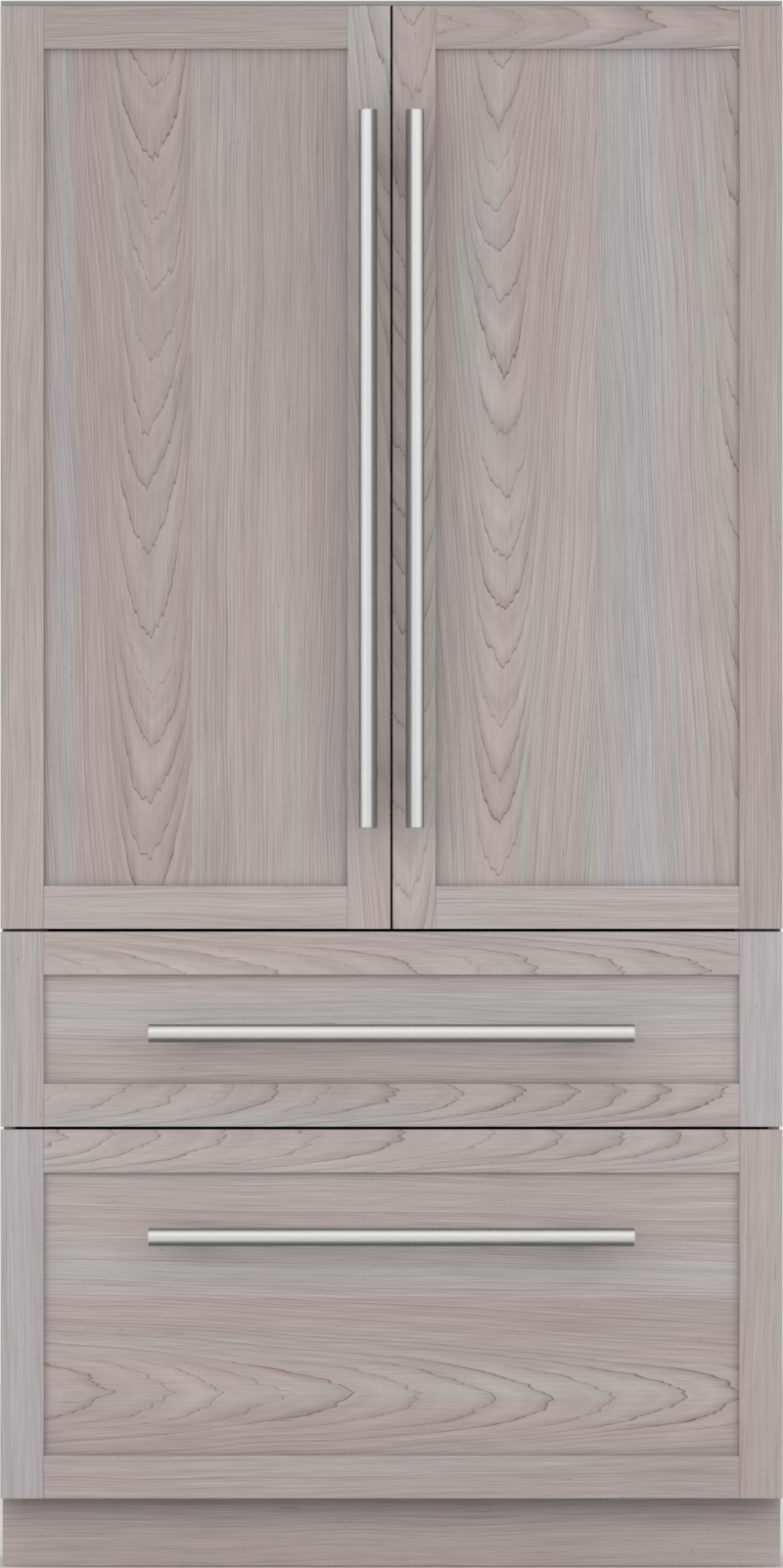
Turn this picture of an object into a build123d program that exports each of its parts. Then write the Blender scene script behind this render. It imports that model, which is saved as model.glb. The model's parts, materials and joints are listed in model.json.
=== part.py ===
from build123d import *
import os

# A panel-ready fridge freezer: two shaker doors over two shaker drawers and a toe kick.
# The frame: X to the right, Y to the back, Z up. Z = 0 is the floor, X = 0 the gap
# between the doors, and Y = 0 the middle of the whole depth, handles included.

os.makedirs("parts", exist_ok=True)

# Fronts, seen from the room
front_width = 1064.0
centre_gap = 3.2
drawer_gap = 4.0
kick_height = 94.0
lower_front_height = 502.4
upper_front_height = 265.4
door_height = 1257.0
top_band = 7.2

# Shaker panels
panel_thickness = 19.0
rail_width = 58.5
field_recess = 8.5
tongue_thickness = 6.0
tongue_depth = 9.0
groove_spare = 1.0
edge_ease = 0.8
joint_line = 0.1

# Handles
handle_diameter = 25.4
handle_gap = 38.0
handle_chamfer = 1.0
post_diameter = 16.0
stud_diameter = 6.0
door_handle_below_top = 141.7
door_handle_above_bottom = 137.3
door_handle_from_edge = 30.3
drawer_handle_from_side = 201.0
upper_handle_below_top = 137.9
lower_handle_below_top = 145.7
post_from_end = 76.0

# Depths behind the panels
door_depth = 60.0
seal_depth = 12.0
case_depth = 538.0

# Case
case_side_gap = 14.0
frame_side_gap = 3.0
sheet = 1.0
frame_sheet = 2.0
side_wall = 52.0
back_wall = 56.0
top_wall = 57.0
divider_wall = 84.0
cross_rail = 62.0
cross_rail_depth = 50.0
floor_wall = 48.0
liner_sheet = 2.0
seam = 0.2
running_gap = 0.3

# Top trim
trim_sheet = 3.0
trim_setback = 24.8
trim_back = 60.0
trim_shadow = 1.0
fixing_from_side = 152.0
fixing_hole = 5.0

# Machine bay behind the lower drawer
bay_depth = 216.0
bay_height = 300.0
bay_wall = 45.0
base_below_front = 2.0
base_bottom = 26.0
base_sheet = 3.0
rail_flange = 30.0
beam_depth = 30.0
rear_margin = 4.0
tray_lift = 36.0

# Toe kick
kick_setback = 52.0
kick_thickness = 16.0
kick_floor_gap = 1.0
kick_side_gap = 2.0
clip_width = 50.0
clip_share = 0.675
kick_top_gap = 4.0

# Door bodies and hinges
door_inset = 4.0
door_inner_inset = 10.0
door_end_inset = 12.0
drawer_end_inset = 8.0
body_corner = 3.0
seal_width = 14.0
seal_inset = 4.0
pivot_from_edge = 10.0
pivot_behind_panel = 9.0
pin_diameter = 10.0
pin_clearance = 0.05
pin_grip = 24.0
hinge_plate = 6.0
hinge_plate_width = 54.0
hinge_boss = 8.0

# Door liner and bins
dyke_height = 38.0
dyke_width = 20.0
dyke_clearance = 10.0
dyke_from_centre = 38.0
tray_sheet = 2.5
bin_depth = 96.0
bin_height = 104.0
bin_side_gap = 2.0
bin_wall = 2.5
bin_corner = 5.0
bin_hook = 1.4
hook_height = 10.0
bin_shares = (0.278, 0.485, 0.692)

# Mullion flap on the left door
flap_thickness = 16.0
flap_reach = 50.0
flap_from_centre = 24.0
flap_pin_diameter = 6.0
flap_pin_length = 7.0
lug_thickness = 8.0
lug_from_end = 20.0

# Fridge fittings
fridge_duct_depth = 20.0
duct_from_side = 40.0
duct_flange = 20.0
duct_above_cover = 30.0
vent_width = 70.0
vent_height = 8.0
vent_rows = 4
vent_pitch_share = 0.21
shelf_from_front = 106.8
shelf_shares = ((0.265, 0.502, 0.754), (0.203, 0.433, 0.688))
glass_thickness = 4.0
bracket_sheet = 3.0
bracket_height = 34.0
bracket_tip = 12.0
bracket_root = 50.0
arm_inset = 14.0
shelf_trim = 12.0
shelf_lip = 2.0
track_depth = 8.0
track_width = 18.0
track_margin = 30.0
track_slot = (5.0, 22.0, 4.0)
track_pitch = 60.0
shelf_side_gap = 8.0
crisper_from_front = 129.8
crisper_height = 205.0
crisper_lift = 16.0
crisper_wall = 3.0
crisper_rim = 8.0
crisper_centre = 42.0
crisper_from_side = 16.0
crisper_lip = 8.0
crisper_pull = (140.0, 15.0, 6.0)
pull_below_rim = 20.0
ledge = 10.0
cover_above_crisper = 24.0
cover_bar_setback = 6.0
cover_bar_depth = 14.0
cover_bar_drop = 14.0
cover_deck = 6.0
console_size = (240.0, 110.0, 18.0)
console_from_front = 50.0
console_corner = 5.0
button_radius = 7.0
button_pitch = 26.0

# Freezer fittings
freezer_duct_depth = 63.0
duct_sheet = 3.0
grille_rings = 3
grille_bar = 9.0
grille_spoke = 6.0
slide_height = 46.0
slide_depth = 14.0
slide_wall = 2.0
slide_play = 0.4
slide_from_front = 6.0
slide_from_duct = 13.0
upper_slide_below_divider = 88.0
lower_slide_below_rail = 74.0
middle_wall = 1.6
hanger_near, hanger_far = 28.0, 32.0
hanger_rise = 27.0
bracket_reach = 72.0
basket_wall = 3.0
basket_gap = 4.0
basket_floor_gap = 6.0
basket_corner = 18.0

# Running gear
foot_pad = 45.0
foot_pad_height = 9.0
foot_pad_chamfer = 2.0
foot_stud = 12.0
foot_stud_rise = 24.0
foot_nut_radius = 10.8
foot_nut_height = 8.0
foot_inset = 48.0
foot_from_front = 17.0
foot_from_back = 24.0
foot_plate = 34.0
roller_radius = 24.0
roller_width = 20.0
roller_lift = 1.0
roller_axle = 10.0
roller_from_back = 96.0
roller_web = 12.0
fork_half = 18.0
fork_below_axle = 8.0

# Cooling set
compressor_radius = 72.0
compressor_height = 158.0
compressor_from_side = 187.0
dome_radius = 44.0
weld_flange = 3.0
grommet_radius = 9.0
grommet_height = 10.0
foot_strap = (180.0, 64.0, 4.0)
terminal_box = (38.0, 48.0, 52.0)
tube_radius = 4.0
tube_pitch = 44.0
fan_from_compressor = 330.0
condenser_fan_radius = 82.0
freezer_fan_radius = 58.0
fan_hub_radius = 20.0
fan_hub_width = 18.0
small_hub_radius = 16.0
small_hub_width = 14.0
blade_count = 5
blade_pitch = 28.0
blade_sheet = 2.4
fan_clearance = 4.0
shroud_sheet = 3.0
shroud_depth = 34.0
motor_radius = 26.0
motor_length = 46.0
small_motor_radius = 24.0
shaft_diameter = 6.0
condenser_from_fan = 120.0
condenser_from_side = 72.0
condenser_fins = 11
evaporator_half = 210.0
evaporator_fins = 13
fin_sheet = 1.2
end_plate = 2.0
pan_height = 40.0
pan_wall = 2.5

# Rear cover and power inlet
cover_side_gap = 4.0
louvre_columns, louvre_rows = 5, 5
louvre_length, louvre_height, louvre_pitch = 110.0, 8.0, 24.0
louvres_from_inlet_side, louvres_from_far_side = 250.0, 110.0
inlet_from_side, inlet_above_base = 78.0, 148.0
inlet_width, inlet_height, inlet_depth = 50.0, 30.0, 28.0
inlet_corner = 3.0
socket_size = (28.0, 18.0, 16.0)
blade_size = (2.0, 12.0, 6.0)

# Places worked out from the sizes above
z_lower_top = kick_height + lower_front_height
z_upper_bottom = z_lower_top + drawer_gap
z_upper_top = z_upper_bottom + upper_front_height
z_door_bottom = z_upper_top + drawer_gap
z_door_top = z_door_bottom + door_height
z_top = z_door_top + top_band
half_width = front_width / 2
door_handle_length = door_height - door_handle_below_top - door_handle_above_bottom
drawer_handle_length = front_width - 2 * drawer_handle_from_side
door_edge = centre_gap / 2

handle_reach = handle_gap + handle_diameter
overall_depth = handle_reach + panel_thickness + door_depth + seal_depth + case_depth
y_handle = -overall_depth / 2
y_face = y_handle + handle_reach
y_panel_back = y_face + panel_thickness
y_body_back = y_panel_back + door_depth
y_case = y_body_back + seal_depth
y_back = y_case + case_depth
handle_y = y_handle + handle_diameter / 2

z_case_top = z_top - trim_sheet
half_case = half_width - case_side_gap
half_frame = half_width - frame_side_gap
fixing_spacing = front_width - 2 * fixing_from_side
trim_lip = top_band - trim_shadow
half_room = half_case - side_wall + liner_sheet
z_divider = z_upper_top + drawer_gap / 2
z_fridge_floor = z_divider + divider_wall / 2 + door_end_inset
z_freezer_top = z_divider - divider_wall / 2 + door_end_inset
z_ceiling = z_case_top - top_wall
z_cross = z_lower_top + drawer_gap / 2
z_base_top = kick_height - base_below_front
z_freezer_floor = z_base_top + floor_wall
y_room_back = y_back - back_wall
y_bay = y_back - bay_depth
z_bay_roof = bay_height + bay_wall

pivot_x = half_width - pivot_from_edge
pivot_y = y_panel_back + pivot_behind_panel


def save(piece, name):
    """Names a finished piece and writes it."""
    piece.part.label = name
    export_step(piece.part, f"parts/{name}.step")


def bar(xs, ys, zs, mode=Mode.ADD):
    """A straight-sided length between two values on each axis."""
    with BuildSketch(Plane.XY.offset(min(zs))) as section:
        with Locations(((xs[0] + xs[1]) / 2, (ys[0] + ys[1]) / 2)):
            Rectangle(abs(xs[1] - xs[0]), abs(ys[1] - ys[0]))
    extrude(section.sketch, amount=abs(zs[1] - zs[0]), mode=mode)


def ring(outer, inner, y_from, y_to, corner, mode=Mode.ADD):
    """A rectangular ring that stands in the XZ plane: (x0, x1, z0, z1) outside and inside."""
    with BuildSketch(Plane.XZ.offset(-y_from)) as section:
        for (x0, x1, z0, z1), radius, how in ((outer, corner, Mode.ADD),
                                              (inner, corner / 2, Mode.SUBTRACT)):
            with Locations(((x0 + x1) / 2, (z0 + z1) / 2)):
                RectangleRounded(x1 - x0, z1 - z0, radius, mode=how)
    extrude(section.sketch, amount=-(y_to - y_from), mode=mode)


def rod(centre, radius, length, plane, mode=Mode.ADD):
    """A round length that starts at a point and runs along a plane's normal."""
    with BuildSketch(Plane(origin=centre, x_dir=plane.x_dir, z_dir=plane.z_dir)) as section:
        Circle(radius)
    extrude(section.sketch, amount=length, mode=mode)


# Planes whose normals run along +Y, +X and +Z
ALONG_BACK = Plane(origin=(0, 0, 0), x_dir=(1, 0, 0), z_dir=(0, 1, 0))
ALONG_RIGHT = Plane(origin=(0, 0, 0), x_dir=(0, 1, 0), z_dir=(1, 0, 0))
ALONG_UP = Plane.XY


# Shaker fronts
groove_front = y_face + field_recess - joint_line
groove_back = y_face + field_recess + tongue_thickness + joint_line
groove_depth = tongue_depth + groove_spare


def shaker_frame(x0, x1, z0, z1):
    """Two stiles with two rails between them, grooved round the inside, on stub tenons."""
    inner0, inner1 = x0 + rail_width, x1 - rail_width
    with BuildPart() as frame:
        for xa, xb, groove in ((x0, inner0, (inner0 - groove_depth, inner0)),
                               (inner1, x1, (inner1, inner1 + groove_depth))):
            bar((xa, xb), (y_face, y_panel_back), (z0, z1))
            bar(groove, (groove_front, groove_back), (z0, z1), Mode.SUBTRACT)
        for za, zb, inner in ((z0, z0 + rail_width, 1), (z1 - rail_width, z1, -1)):
            edge = zb if inner > 0 else za
            bar((inner0 + joint_line, inner1 - joint_line), (y_face, y_panel_back), (za, zb))
            bar((inner0 - tongue_depth, inner1 + tongue_depth),
                (groove_front + joint_line, groove_back - joint_line),
                (za, edge - groove_depth) if inner > 0 else (edge + groove_depth, zb))
            bar((inner0, inner1), (groove_front, groove_back),
                (edge, edge - inner * groove_depth), Mode.SUBTRACT)
        outside = (frame.edges().filter_by(Axis.Z).filter_by_position(Axis.Y, y_face, y_face)
                   .group_by(Axis.X))
        chamfer(outside[0] + outside[-1], edge_ease)
    return frame


def flat_panel(x0, x1, z0, z1):
    """The flat field that sits in a frame's grooves, flush with its back."""
    x0, x1 = x0 + rail_width + joint_line, x1 - rail_width - joint_line
    z0, z1 = z0 + rail_width + joint_line, z1 - rail_width - joint_line
    tongue_back = y_face + field_recess + tongue_thickness
    with BuildPart() as panel:
        bar((x0, x1), (y_face + field_recess, y_panel_back), (z0, z1))
        bar((x0 - tongue_depth, x1 + tongue_depth), (y_face + field_recess, tongue_back),
            (z0 - tongue_depth, z1 + tongue_depth))
    return panel


def stud_holes(panel, posts):
    """Clearance holes for the handle studs, right through a front."""
    with panel:
        for x, z in posts:
            rod((x, y_face - 1, z), stud_diameter / 2 + running_gap, panel_thickness + 2,
                ALONG_BACK, Mode.SUBTRACT)


def bar_handle(posts, seat, start, plane, length):
    """A round bar on two coped posts, whose studs go on through the front."""
    with BuildPart() as handle:
        rod(start, handle_diameter / 2, length, plane)
        ends = handle.edges().filter_by(GeomType.CIRCLE)
        chamfer(ends, handle_chamfer)
    with BuildPart() as feet:
        for x, z in posts:
            rod((x, handle_y, z), post_diameter / 2, seat - handle_y, ALONG_BACK)
        rod(start, handle_diameter / 2 + joint_line, length, plane, Mode.SUBTRACT)
        for x, z in posts:
            rod((x, seat, z), stud_diameter / 2, y_panel_back - seat - edge_ease, ALONG_BACK)
    with BuildPart() as both:
        add(handle.part)
        add(feet.part)
    return both


def door_body(x0, x1, z0, z1):
    """A steel-faced foam slab with rounded upright corners."""
    with BuildPart() as body:
        bar((x0, x1), (y_panel_back, y_body_back), (z0, z1))
        fillet(body.edges().filter_by(Axis.Z).group_by(Axis.Y)[-1], body_corner)
    return body


def seal(x0, x1, z0, z1):
    """A magnetic gasket: a wide foot on the door body and a narrower lip towards the case."""
    y_lip = y_case - running_gap
    y_foot = y_body_back + seal_depth / 2
    step = seal_width / 7
    with BuildPart() as gasket:
        ring((x0, x1, z0, z1),
             (x0 + seal_width, x1 - seal_width, z0 + seal_width, z1 - seal_width),
             y_body_back, y_foot, body_corner)
        ring((x0 + step, x1 - step, z0 + step, z1 - step),
             (x0 + seal_width - step, x1 - seal_width + step,
              z0 + seal_width - step, z1 - seal_width + step),
             y_foot, y_lip, body_corner)
    return gasket


# The two doors
door_body_bottom = z_door_bottom + door_end_inset
door_body_top = z_door_top - door_end_inset
tray_back = y_body_back + tray_sheet
dyke_back = y_body_back + dyke_height
dyke_side = half_room - liner_sheet - dyke_clearance
dyke_bottom = z_fridge_floor + liner_sheet + dyke_clearance
dyke_top = z_ceiling - liner_sheet - dyke_clearance
flap_axis_y = y_case + running_gap * 2 + flap_thickness / 2
hook_depths = (y_body_back + dyke_height / 3, y_body_back + dyke_height * 3 / 4)
lug_bottom = dyke_bottom + lug_from_end
lug_top = dyke_top - lug_from_end
door_handle_x = door_edge + door_handle_from_edge
door_handle_top = z_door_top - door_handle_below_top
door_handle_bottom = door_handle_top - door_handle_length


def span(side, near, far):
    """The X range from near to far of the middle, on the left (-1) or the right (1) side."""
    return (-far, -near) if side < 0 else (near, far)


def door(name, side):
    """One door with everything that swings on its hinge."""
    x0, x1 = span(side, door_edge, half_width)
    posts = [(side * door_handle_x, door_handle_bottom + post_from_end),
             (side * door_handle_x, door_handle_top - post_from_end)]
    frame = shaker_frame(x0, x1, z_door_bottom, z_door_top)
    stud_holes(frame, posts)
    save(frame, f"{name}_frame")
    save(flat_panel(x0, x1, z_door_bottom, z_door_top), f"{name}_panel")
    save(bar_handle(posts, y_face, (side * door_handle_x, handle_y, door_handle_bottom),
                    ALONG_UP, door_handle_length), f"{name}_handle")

    body = door_body(*span(side, door_edge + door_inner_inset, half_width - door_inset),
                     door_body_bottom, door_body_top)
    with body:
        for z in (door_body_bottom, door_body_top - pin_grip - 1):
            rod((side * pivot_x, pivot_y, z), pin_diameter / 2 + pin_clearance, pin_grip + 1,
                ALONG_UP, Mode.SUBTRACT)
    save(body, f"{name}_body")
    save(seal(*span(side, door_edge + door_inner_inset, half_width - door_inset - seal_inset * 3),
              door_body_bottom + seal_inset, door_body_top - seal_inset), f"{name}_gasket")

    near, far = span(side, dyke_from_centre, dyke_side)
    with BuildPart() as liner:
        ring((near, far, dyke_bottom, dyke_top),
             (near + dyke_width, far - dyke_width, dyke_bottom + dyke_width,
              dyke_top - dyke_width), y_body_back, dyke_back, dyke_width / 2)
        crest = liner.edges().filter_by_position(Axis.Y, dyke_back, dyke_back)
        fillet(crest, dyke_width / 4)
        bar((near + dyke_width / 2, far - dyke_width / 2), (y_body_back, tray_back),
            (dyke_bottom + dyke_width / 2, dyke_top - dyke_width / 2))
        for share in bin_shares:
            hook = z_door_bottom + share * door_height + bin_height / 2
            for x_wall, way in ((near + dyke_width, 1), (far - dyke_width, -1)):
                bar((x_wall - way, x_wall + way * (bin_side_gap + bin_hook)), hook_depths,
                    (hook - hook_height, hook))
        if side < 0:
            for z in (lug_bottom, lug_top):
                bar((-dyke_from_centre - dyke_width / 4, -flap_from_centre + flap_thickness / 2),
                    (flap_axis_y - flap_thickness / 2, flap_axis_y + flap_thickness / 2),
                    (z - lug_thickness / 2, z + lug_thickness / 2))
                rod((-flap_from_centre, flap_axis_y, z - lug_thickness),
                    flap_pin_diameter / 2 + pin_clearance, lug_thickness * 2, ALONG_UP,
                    Mode.SUBTRACT)
    save(liner, f"{name}_liner")
    save(door_bins(near, far), f"{name}_bins")


def door_bins(near, far):
    """Three open trays that hang between the liner's upright ridges."""
    x0, x1 = near + dyke_width + bin_side_gap, far - dyke_width - bin_side_gap
    y0, y1 = tray_back + running_gap, tray_back + bin_depth
    with BuildPart() as bins:
        for share in bin_shares:
            z0 = z_door_bottom + share * door_height
            with BuildSketch(Plane.XY.offset(z0)):
                with Locations(((x0 + x1) / 2, (y0 + y1) / 2)):
                    RectangleRounded(x1 - x0, y1 - y0, bin_corner)
            extrude(amount=bin_height)
            with BuildSketch(Plane.XY.offset(z0 + bin_wall)):
                with Locations(((x0 + x1) / 2, (y0 + y1) / 2)):
                    RectangleRounded(x1 - x0 - 2 * bin_wall, y1 - y0 - 2 * bin_wall,
                                     bin_corner - bin_wall)
            extrude(amount=bin_height, mode=Mode.SUBTRACT)
            for x_side, way in ((x0, -1), (x1, 1)):
                hook = z0 + bin_height / 2
                bar((x_side + way, x_side - way * (bin_hook + running_gap)),
                    (hook_depths[0] - running_gap, hook_depths[1] + running_gap),
                    (hook - hook_height - running_gap, hook + running_gap), Mode.SUBTRACT)
    return bins


door("left_door", -1)
door("right_door", 1)

# Mullion flap, at rest folded back against the left door's inner side
with BuildPart() as mullion_flap:
    flap_end = flap_axis_y + flap_reach
    z_flap = lug_bottom + lug_thickness / 2 + running_gap
    flap_length = lug_top - lug_bottom - lug_thickness - 2 * running_gap
    with BuildSketch(Plane.XY.offset(z_flap)):
        with Locations((-flap_from_centre, flap_axis_y)):
            Circle(flap_thickness / 2)
        with Locations((-flap_from_centre, (flap_axis_y + flap_end) / 2)):
            Rectangle(flap_thickness, flap_reach)
    extrude(amount=flap_length)
    fillet(mullion_flap.edges().filter_by(Axis.Z).group_by(Axis.Y)[-1], body_corner)
    for z, way in ((z_flap, -1), (z_flap + flap_length - flap_pin_length, 1)):
        rod((-flap_from_centre, flap_axis_y, z + min(way, 0) * flap_pin_length + max(way, 0)),
            flap_pin_diameter / 2, flap_pin_length * 2 - 1, ALONG_UP)
save(mullion_flap, "mullion_flap")

# Case: steel wrapper round the sides and top, with a separate back
with BuildPart() as case_shell:
    bar((-half_case, half_case), (y_case + frame_sheet, y_back - sheet - seam),
        (base_bottom, z_case_top))
    bar((-half_case + sheet, half_case - sheet), (y_case, y_back),
        (base_bottom - 1, z_case_top - sheet), Mode.SUBTRACT)
    bar((-half_case, half_case), (y_back - sheet, y_back), (bay_height, z_case_top))
save(case_shell, "case_shell")

foam_side = half_case - sheet
foam_top = z_case_top - sheet
foam_back = y_back - sheet - seam
foam_front = y_case + frame_sheet
with BuildPart() as cabinet_foam:
    for side in (-1, 1):
        bar(span(side, half_room + seam, foam_side), (foam_front, foam_back),
            (z_base_top + seam, foam_top))
    bar((-half_room, half_room), (foam_front, y_room_back), (z_ceiling, foam_top))
    bar((-half_room, half_room), (y_room_back + seam, foam_back), (z_bay_roof + seam, foam_top))
    bar((-half_room, half_room), (foam_front, y_room_back), (z_freezer_top, z_fridge_floor))
    bar((-half_room + liner_sheet, half_room - liner_sheet),
        (foam_front, foam_front + cross_rail_depth),
        (z_cross - cross_rail / 2, z_cross + cross_rail / 2))
    bar((-half_room, half_room), (foam_front, y_bay - bay_wall),
        (z_base_top + seam, z_freezer_floor))
    bar((-half_room, half_room), (y_bay - bay_wall + seam, y_bay),
        (z_base_top + seam, bay_height))
    bar((-half_room, half_room), (y_bay - bay_wall + seam, foam_back),
        (bay_height + seam, z_bay_roof))
save(cabinet_foam, "cabinet_foam")

with BuildPart() as fridge_liner:
    bar((-half_room, half_room), (foam_front, y_room_back), (z_fridge_floor, z_ceiling))
    bar((-half_room + liner_sheet, half_room - liner_sheet), (y_case, y_room_back - liner_sheet),
        (z_fridge_floor + liner_sheet, z_ceiling - liner_sheet), Mode.SUBTRACT)
save(fridge_liner, "fridge_liner")

with BuildPart() as freezer_liner:
    for grow, width, mode in ((0, half_room, Mode.ADD),
                              (liner_sheet, half_room - liner_sheet, Mode.SUBTRACT)):
        front = foam_front if mode == Mode.ADD else y_case
        with BuildSketch(Plane(origin=(-width, 0, 0), x_dir=(0, 1, 0), z_dir=(1, 0, 0))):
            with BuildLine():
                Polyline((front, z_freezer_floor + grow),
                         (y_bay - bay_wall - grow, z_freezer_floor + grow),
                         (y_bay - bay_wall - grow, z_bay_roof + grow),
                         (y_room_back - grow, z_bay_roof + grow),
                         (y_room_back - grow, z_freezer_top - grow),
                         (front, z_freezer_top - grow),
                         close=True)
            make_face()
        extrude(amount=2 * width, mode=mode)
save(freezer_liner, "freezer_liner")

# Stainless front frame that the seals close on
with BuildPart() as front_frame:
    for side in (-1, 1):
        bar(span(side, half_room - liner_sheet + seam, half_frame), (y_case, foam_front),
            (z_base_top, z_case_top))
    inner = half_room - liner_sheet
    for za, zb in ((z_ceiling - liner_sheet, z_case_top),
                   (z_freezer_top - liner_sheet, z_fridge_floor + liner_sheet),
                   (z_cross - cross_rail / 2, z_cross + cross_rail / 2),
                   (z_base_top, z_freezer_floor + liner_sheet)):
        bar((-inner, inner), (y_case, foam_front), (za, zb))
save(front_frame, "front_frame")

# Top trim: a folded plate over the case that shows as a band above the doors
with BuildPart() as top_trim:
    trim_front = y_face + trim_setback
    with BuildSketch(Plane(origin=(-half_width + joint_line, 0, 0), x_dir=(0, 1, 0),
                           z_dir=(1, 0, 0))):
        with BuildLine():
            Polyline((trim_front, z_top - trim_lip), (trim_front, z_top),
                     (y_case + trim_back, z_top), (y_case + trim_back, z_case_top),
                     (trim_front + trim_sheet, z_case_top),
                     (trim_front + trim_sheet, z_top - trim_lip), close=True)
        make_face()
    extrude(amount=2 * (half_width - joint_line))
    fillet(top_trim.edges().filter_by(Axis.X).group_by(Axis.Y)[0].sort_by(Axis.Z)[-1],
           trim_sheet / 2)
    for side in (-1, 1):
        rod((side * fixing_spacing / 2, (trim_front + y_case) / 2, z_case_top - 1),
            fixing_hole / 2, trim_sheet + 2, ALONG_UP, Mode.SUBTRACT)
save(top_trim, "top_trim")

# Hinge plates with their pins, above and below each door
with BuildPart() as hinge_brackets:
    for side in (-1, 1):
        pivot = (side * pivot_x, pivot_y)
        top_plate = z_top - trim_lip - seam - hinge_plate
        low_plate = z_divider - hinge_plate + seam * 5
        for z_plate in (top_plate, low_plate):
            inner = pivot_x - hinge_plate_width
            bar(span(side, inner, pivot_x), (pivot_y - hinge_boss, y_case),
                (z_plate, z_plate + hinge_plate))
            bar(span(side, inner, pivot_x + hinge_boss / 2), (pivot_y, y_case),
                (z_plate, z_plate + hinge_plate))
            rod((*pivot, z_plate), hinge_boss, hinge_plate, ALONG_UP)
        bar(span(side, inner, pivot_x + hinge_boss / 2), (y_case - trim_sheet, y_case),
            (top_plate, z_case_top))
        rod((*pivot, top_plate), pin_diameter / 2,
            -(top_plate - door_body_top + pin_grip - 1), ALONG_UP)
        boss = door_body_bottom - running_gap - low_plate
        rod((*pivot, low_plate), hinge_boss, boss, ALONG_UP)
        rod((*pivot, low_plate + boss), pin_diameter / 2, pin_grip - 1, ALONG_UP)
save(hinge_brackets, "hinge_brackets")


# The two drawers
def slide_section(side, z, near, far, half_height, wall, mouth):
    """A C section with its mouth towards the middle, as a sketch in the XZ plane."""
    wall_x = side * (half_room - liner_sheet)
    x_near, x_far = wall_x - side * near, wall_x - side * far
    for xa, xb, half, mode in (
            (x_near, x_far, half_height, Mode.ADD),
            (x_near - side * wall, x_far + side * wall, half_height - wall, Mode.SUBTRACT),
            (x_far + 2 * side * wall, x_far - side, mouth, Mode.SUBTRACT)):
        with Locations(((xa + xb) / 2, z)):
            Rectangle(abs(xa - xb), 2 * half, mode=mode)


y_freezer_duct = y_room_back - liner_sheet - freezer_duct_depth
slide_start = y_case + slide_from_front
slide_length = y_freezer_duct - slide_from_duct - slide_start
middle_near = slide_wall + slide_play
middle_far = slide_depth - slide_wall - slide_play
middle_half = slide_height / 2 - slide_wall - slide_play
rail_mouth = slide_height / 3
middle_mouth = slide_height / 4
member_near = middle_near + middle_wall + slide_play
member_far = middle_far - middle_wall - slide_play
member_half = middle_half - middle_wall - slide_play
stem_half = middle_mouth - 2.0
z_upper_slide = z_freezer_top - upper_slide_below_divider
z_lower_slide = z_cross - cross_rail / 2 - lower_slide_below_rail
upper_basket_floor = z_cross + cross_rail / 2 + basket_floor_gap
lower_basket_floor = z_freezer_floor + liner_sheet + basket_floor_gap

with BuildPart() as slide_rails:
    for z in (z_upper_slide, z_lower_slide):
        for side in (-1, 1):
            with BuildSketch(Plane.XZ.offset(-slide_start)):
                slide_section(side, z, 0, slide_depth, slide_height / 2, slide_wall,
                              rail_mouth)
            extrude(amount=-slide_length)
save(slide_rails, "slide_rails")


def drawer(name, z0, z1, z_slide, handle_below, basket_floor, stepped):
    """One drawer: its shaker front, foamed body, seal, slides and basket."""
    z_handle = z1 - handle_below
    posts = [(side * (drawer_handle_length / 2 - post_from_end), z_handle) for side in (-1, 1)]
    save(shaker_frame(-half_width, half_width, z0, z1), f"{name}_frame")
    panel = flat_panel(-half_width, half_width, z0, z1)
    stud_holes(panel, posts)
    save(panel, f"{name}_panel")
    save(bar_handle(posts, y_face + field_recess, (-drawer_handle_length / 2, handle_y, z_handle),
                    ALONG_RIGHT, drawer_handle_length), f"{name}_handle")

    body_side = half_width - door_inset
    body_bottom, body_top = z0 + drawer_end_inset, z1 - door_end_inset
    save(door_body(-body_side, body_side, body_bottom, body_top), f"{name}_body")
    seal_side = body_side - seal_inset * 3
    save(seal(-seal_side, seal_side, body_bottom + seal_inset, body_top - seal_inset),
         f"{name}_gasket")

    with BuildPart() as middles:
        for side in (-1, 1):
            with BuildSketch(Plane.XZ.offset(-slide_start)):
                slide_section(side, z_slide, middle_near, middle_far, middle_half, middle_wall,
                              middle_mouth)
            extrude(amount=-slide_length)
    save(middles, f"{name}_slide_middles")

    wall_x = half_room - liner_sheet
    with BuildPart() as members:
        for side in (-1, 1):
            for near, far, low, high in (
                    (member_near, member_far, -member_half, member_half),
                    (member_far, hanger_far, -stem_half, stem_half),
                    (hanger_near, hanger_far, -stem_half, hanger_rise)):
                bar((side * (wall_x - near), side * (wall_x - far)),
                    (y_body_back, slide_start + slide_length),
                    (z_slide + low, z_slide + high))
            bar((side * (wall_x - hanger_far - joint_line), side * (wall_x - bracket_reach)),
                (y_body_back, y_body_back + slide_wall * 1.5),
                (z_slide - member_half, z_slide + hanger_rise))
    save(members, f"{name}_slides")
    save(basket(basket_floor, z_slide + hanger_rise, stepped), f"{name}_basket")


basket_front = y_body_back + slide_wall * 1.5 + basket_gap
basket_back = slide_start + slide_length - basket_gap
basket_side = half_room - liner_sheet - hanger_far - basket_gap
step_back = y_bay - bay_wall - liner_sheet - basket_gap * 3
step_rise = z_bay_roof + liner_sheet + basket_gap * 3


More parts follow.
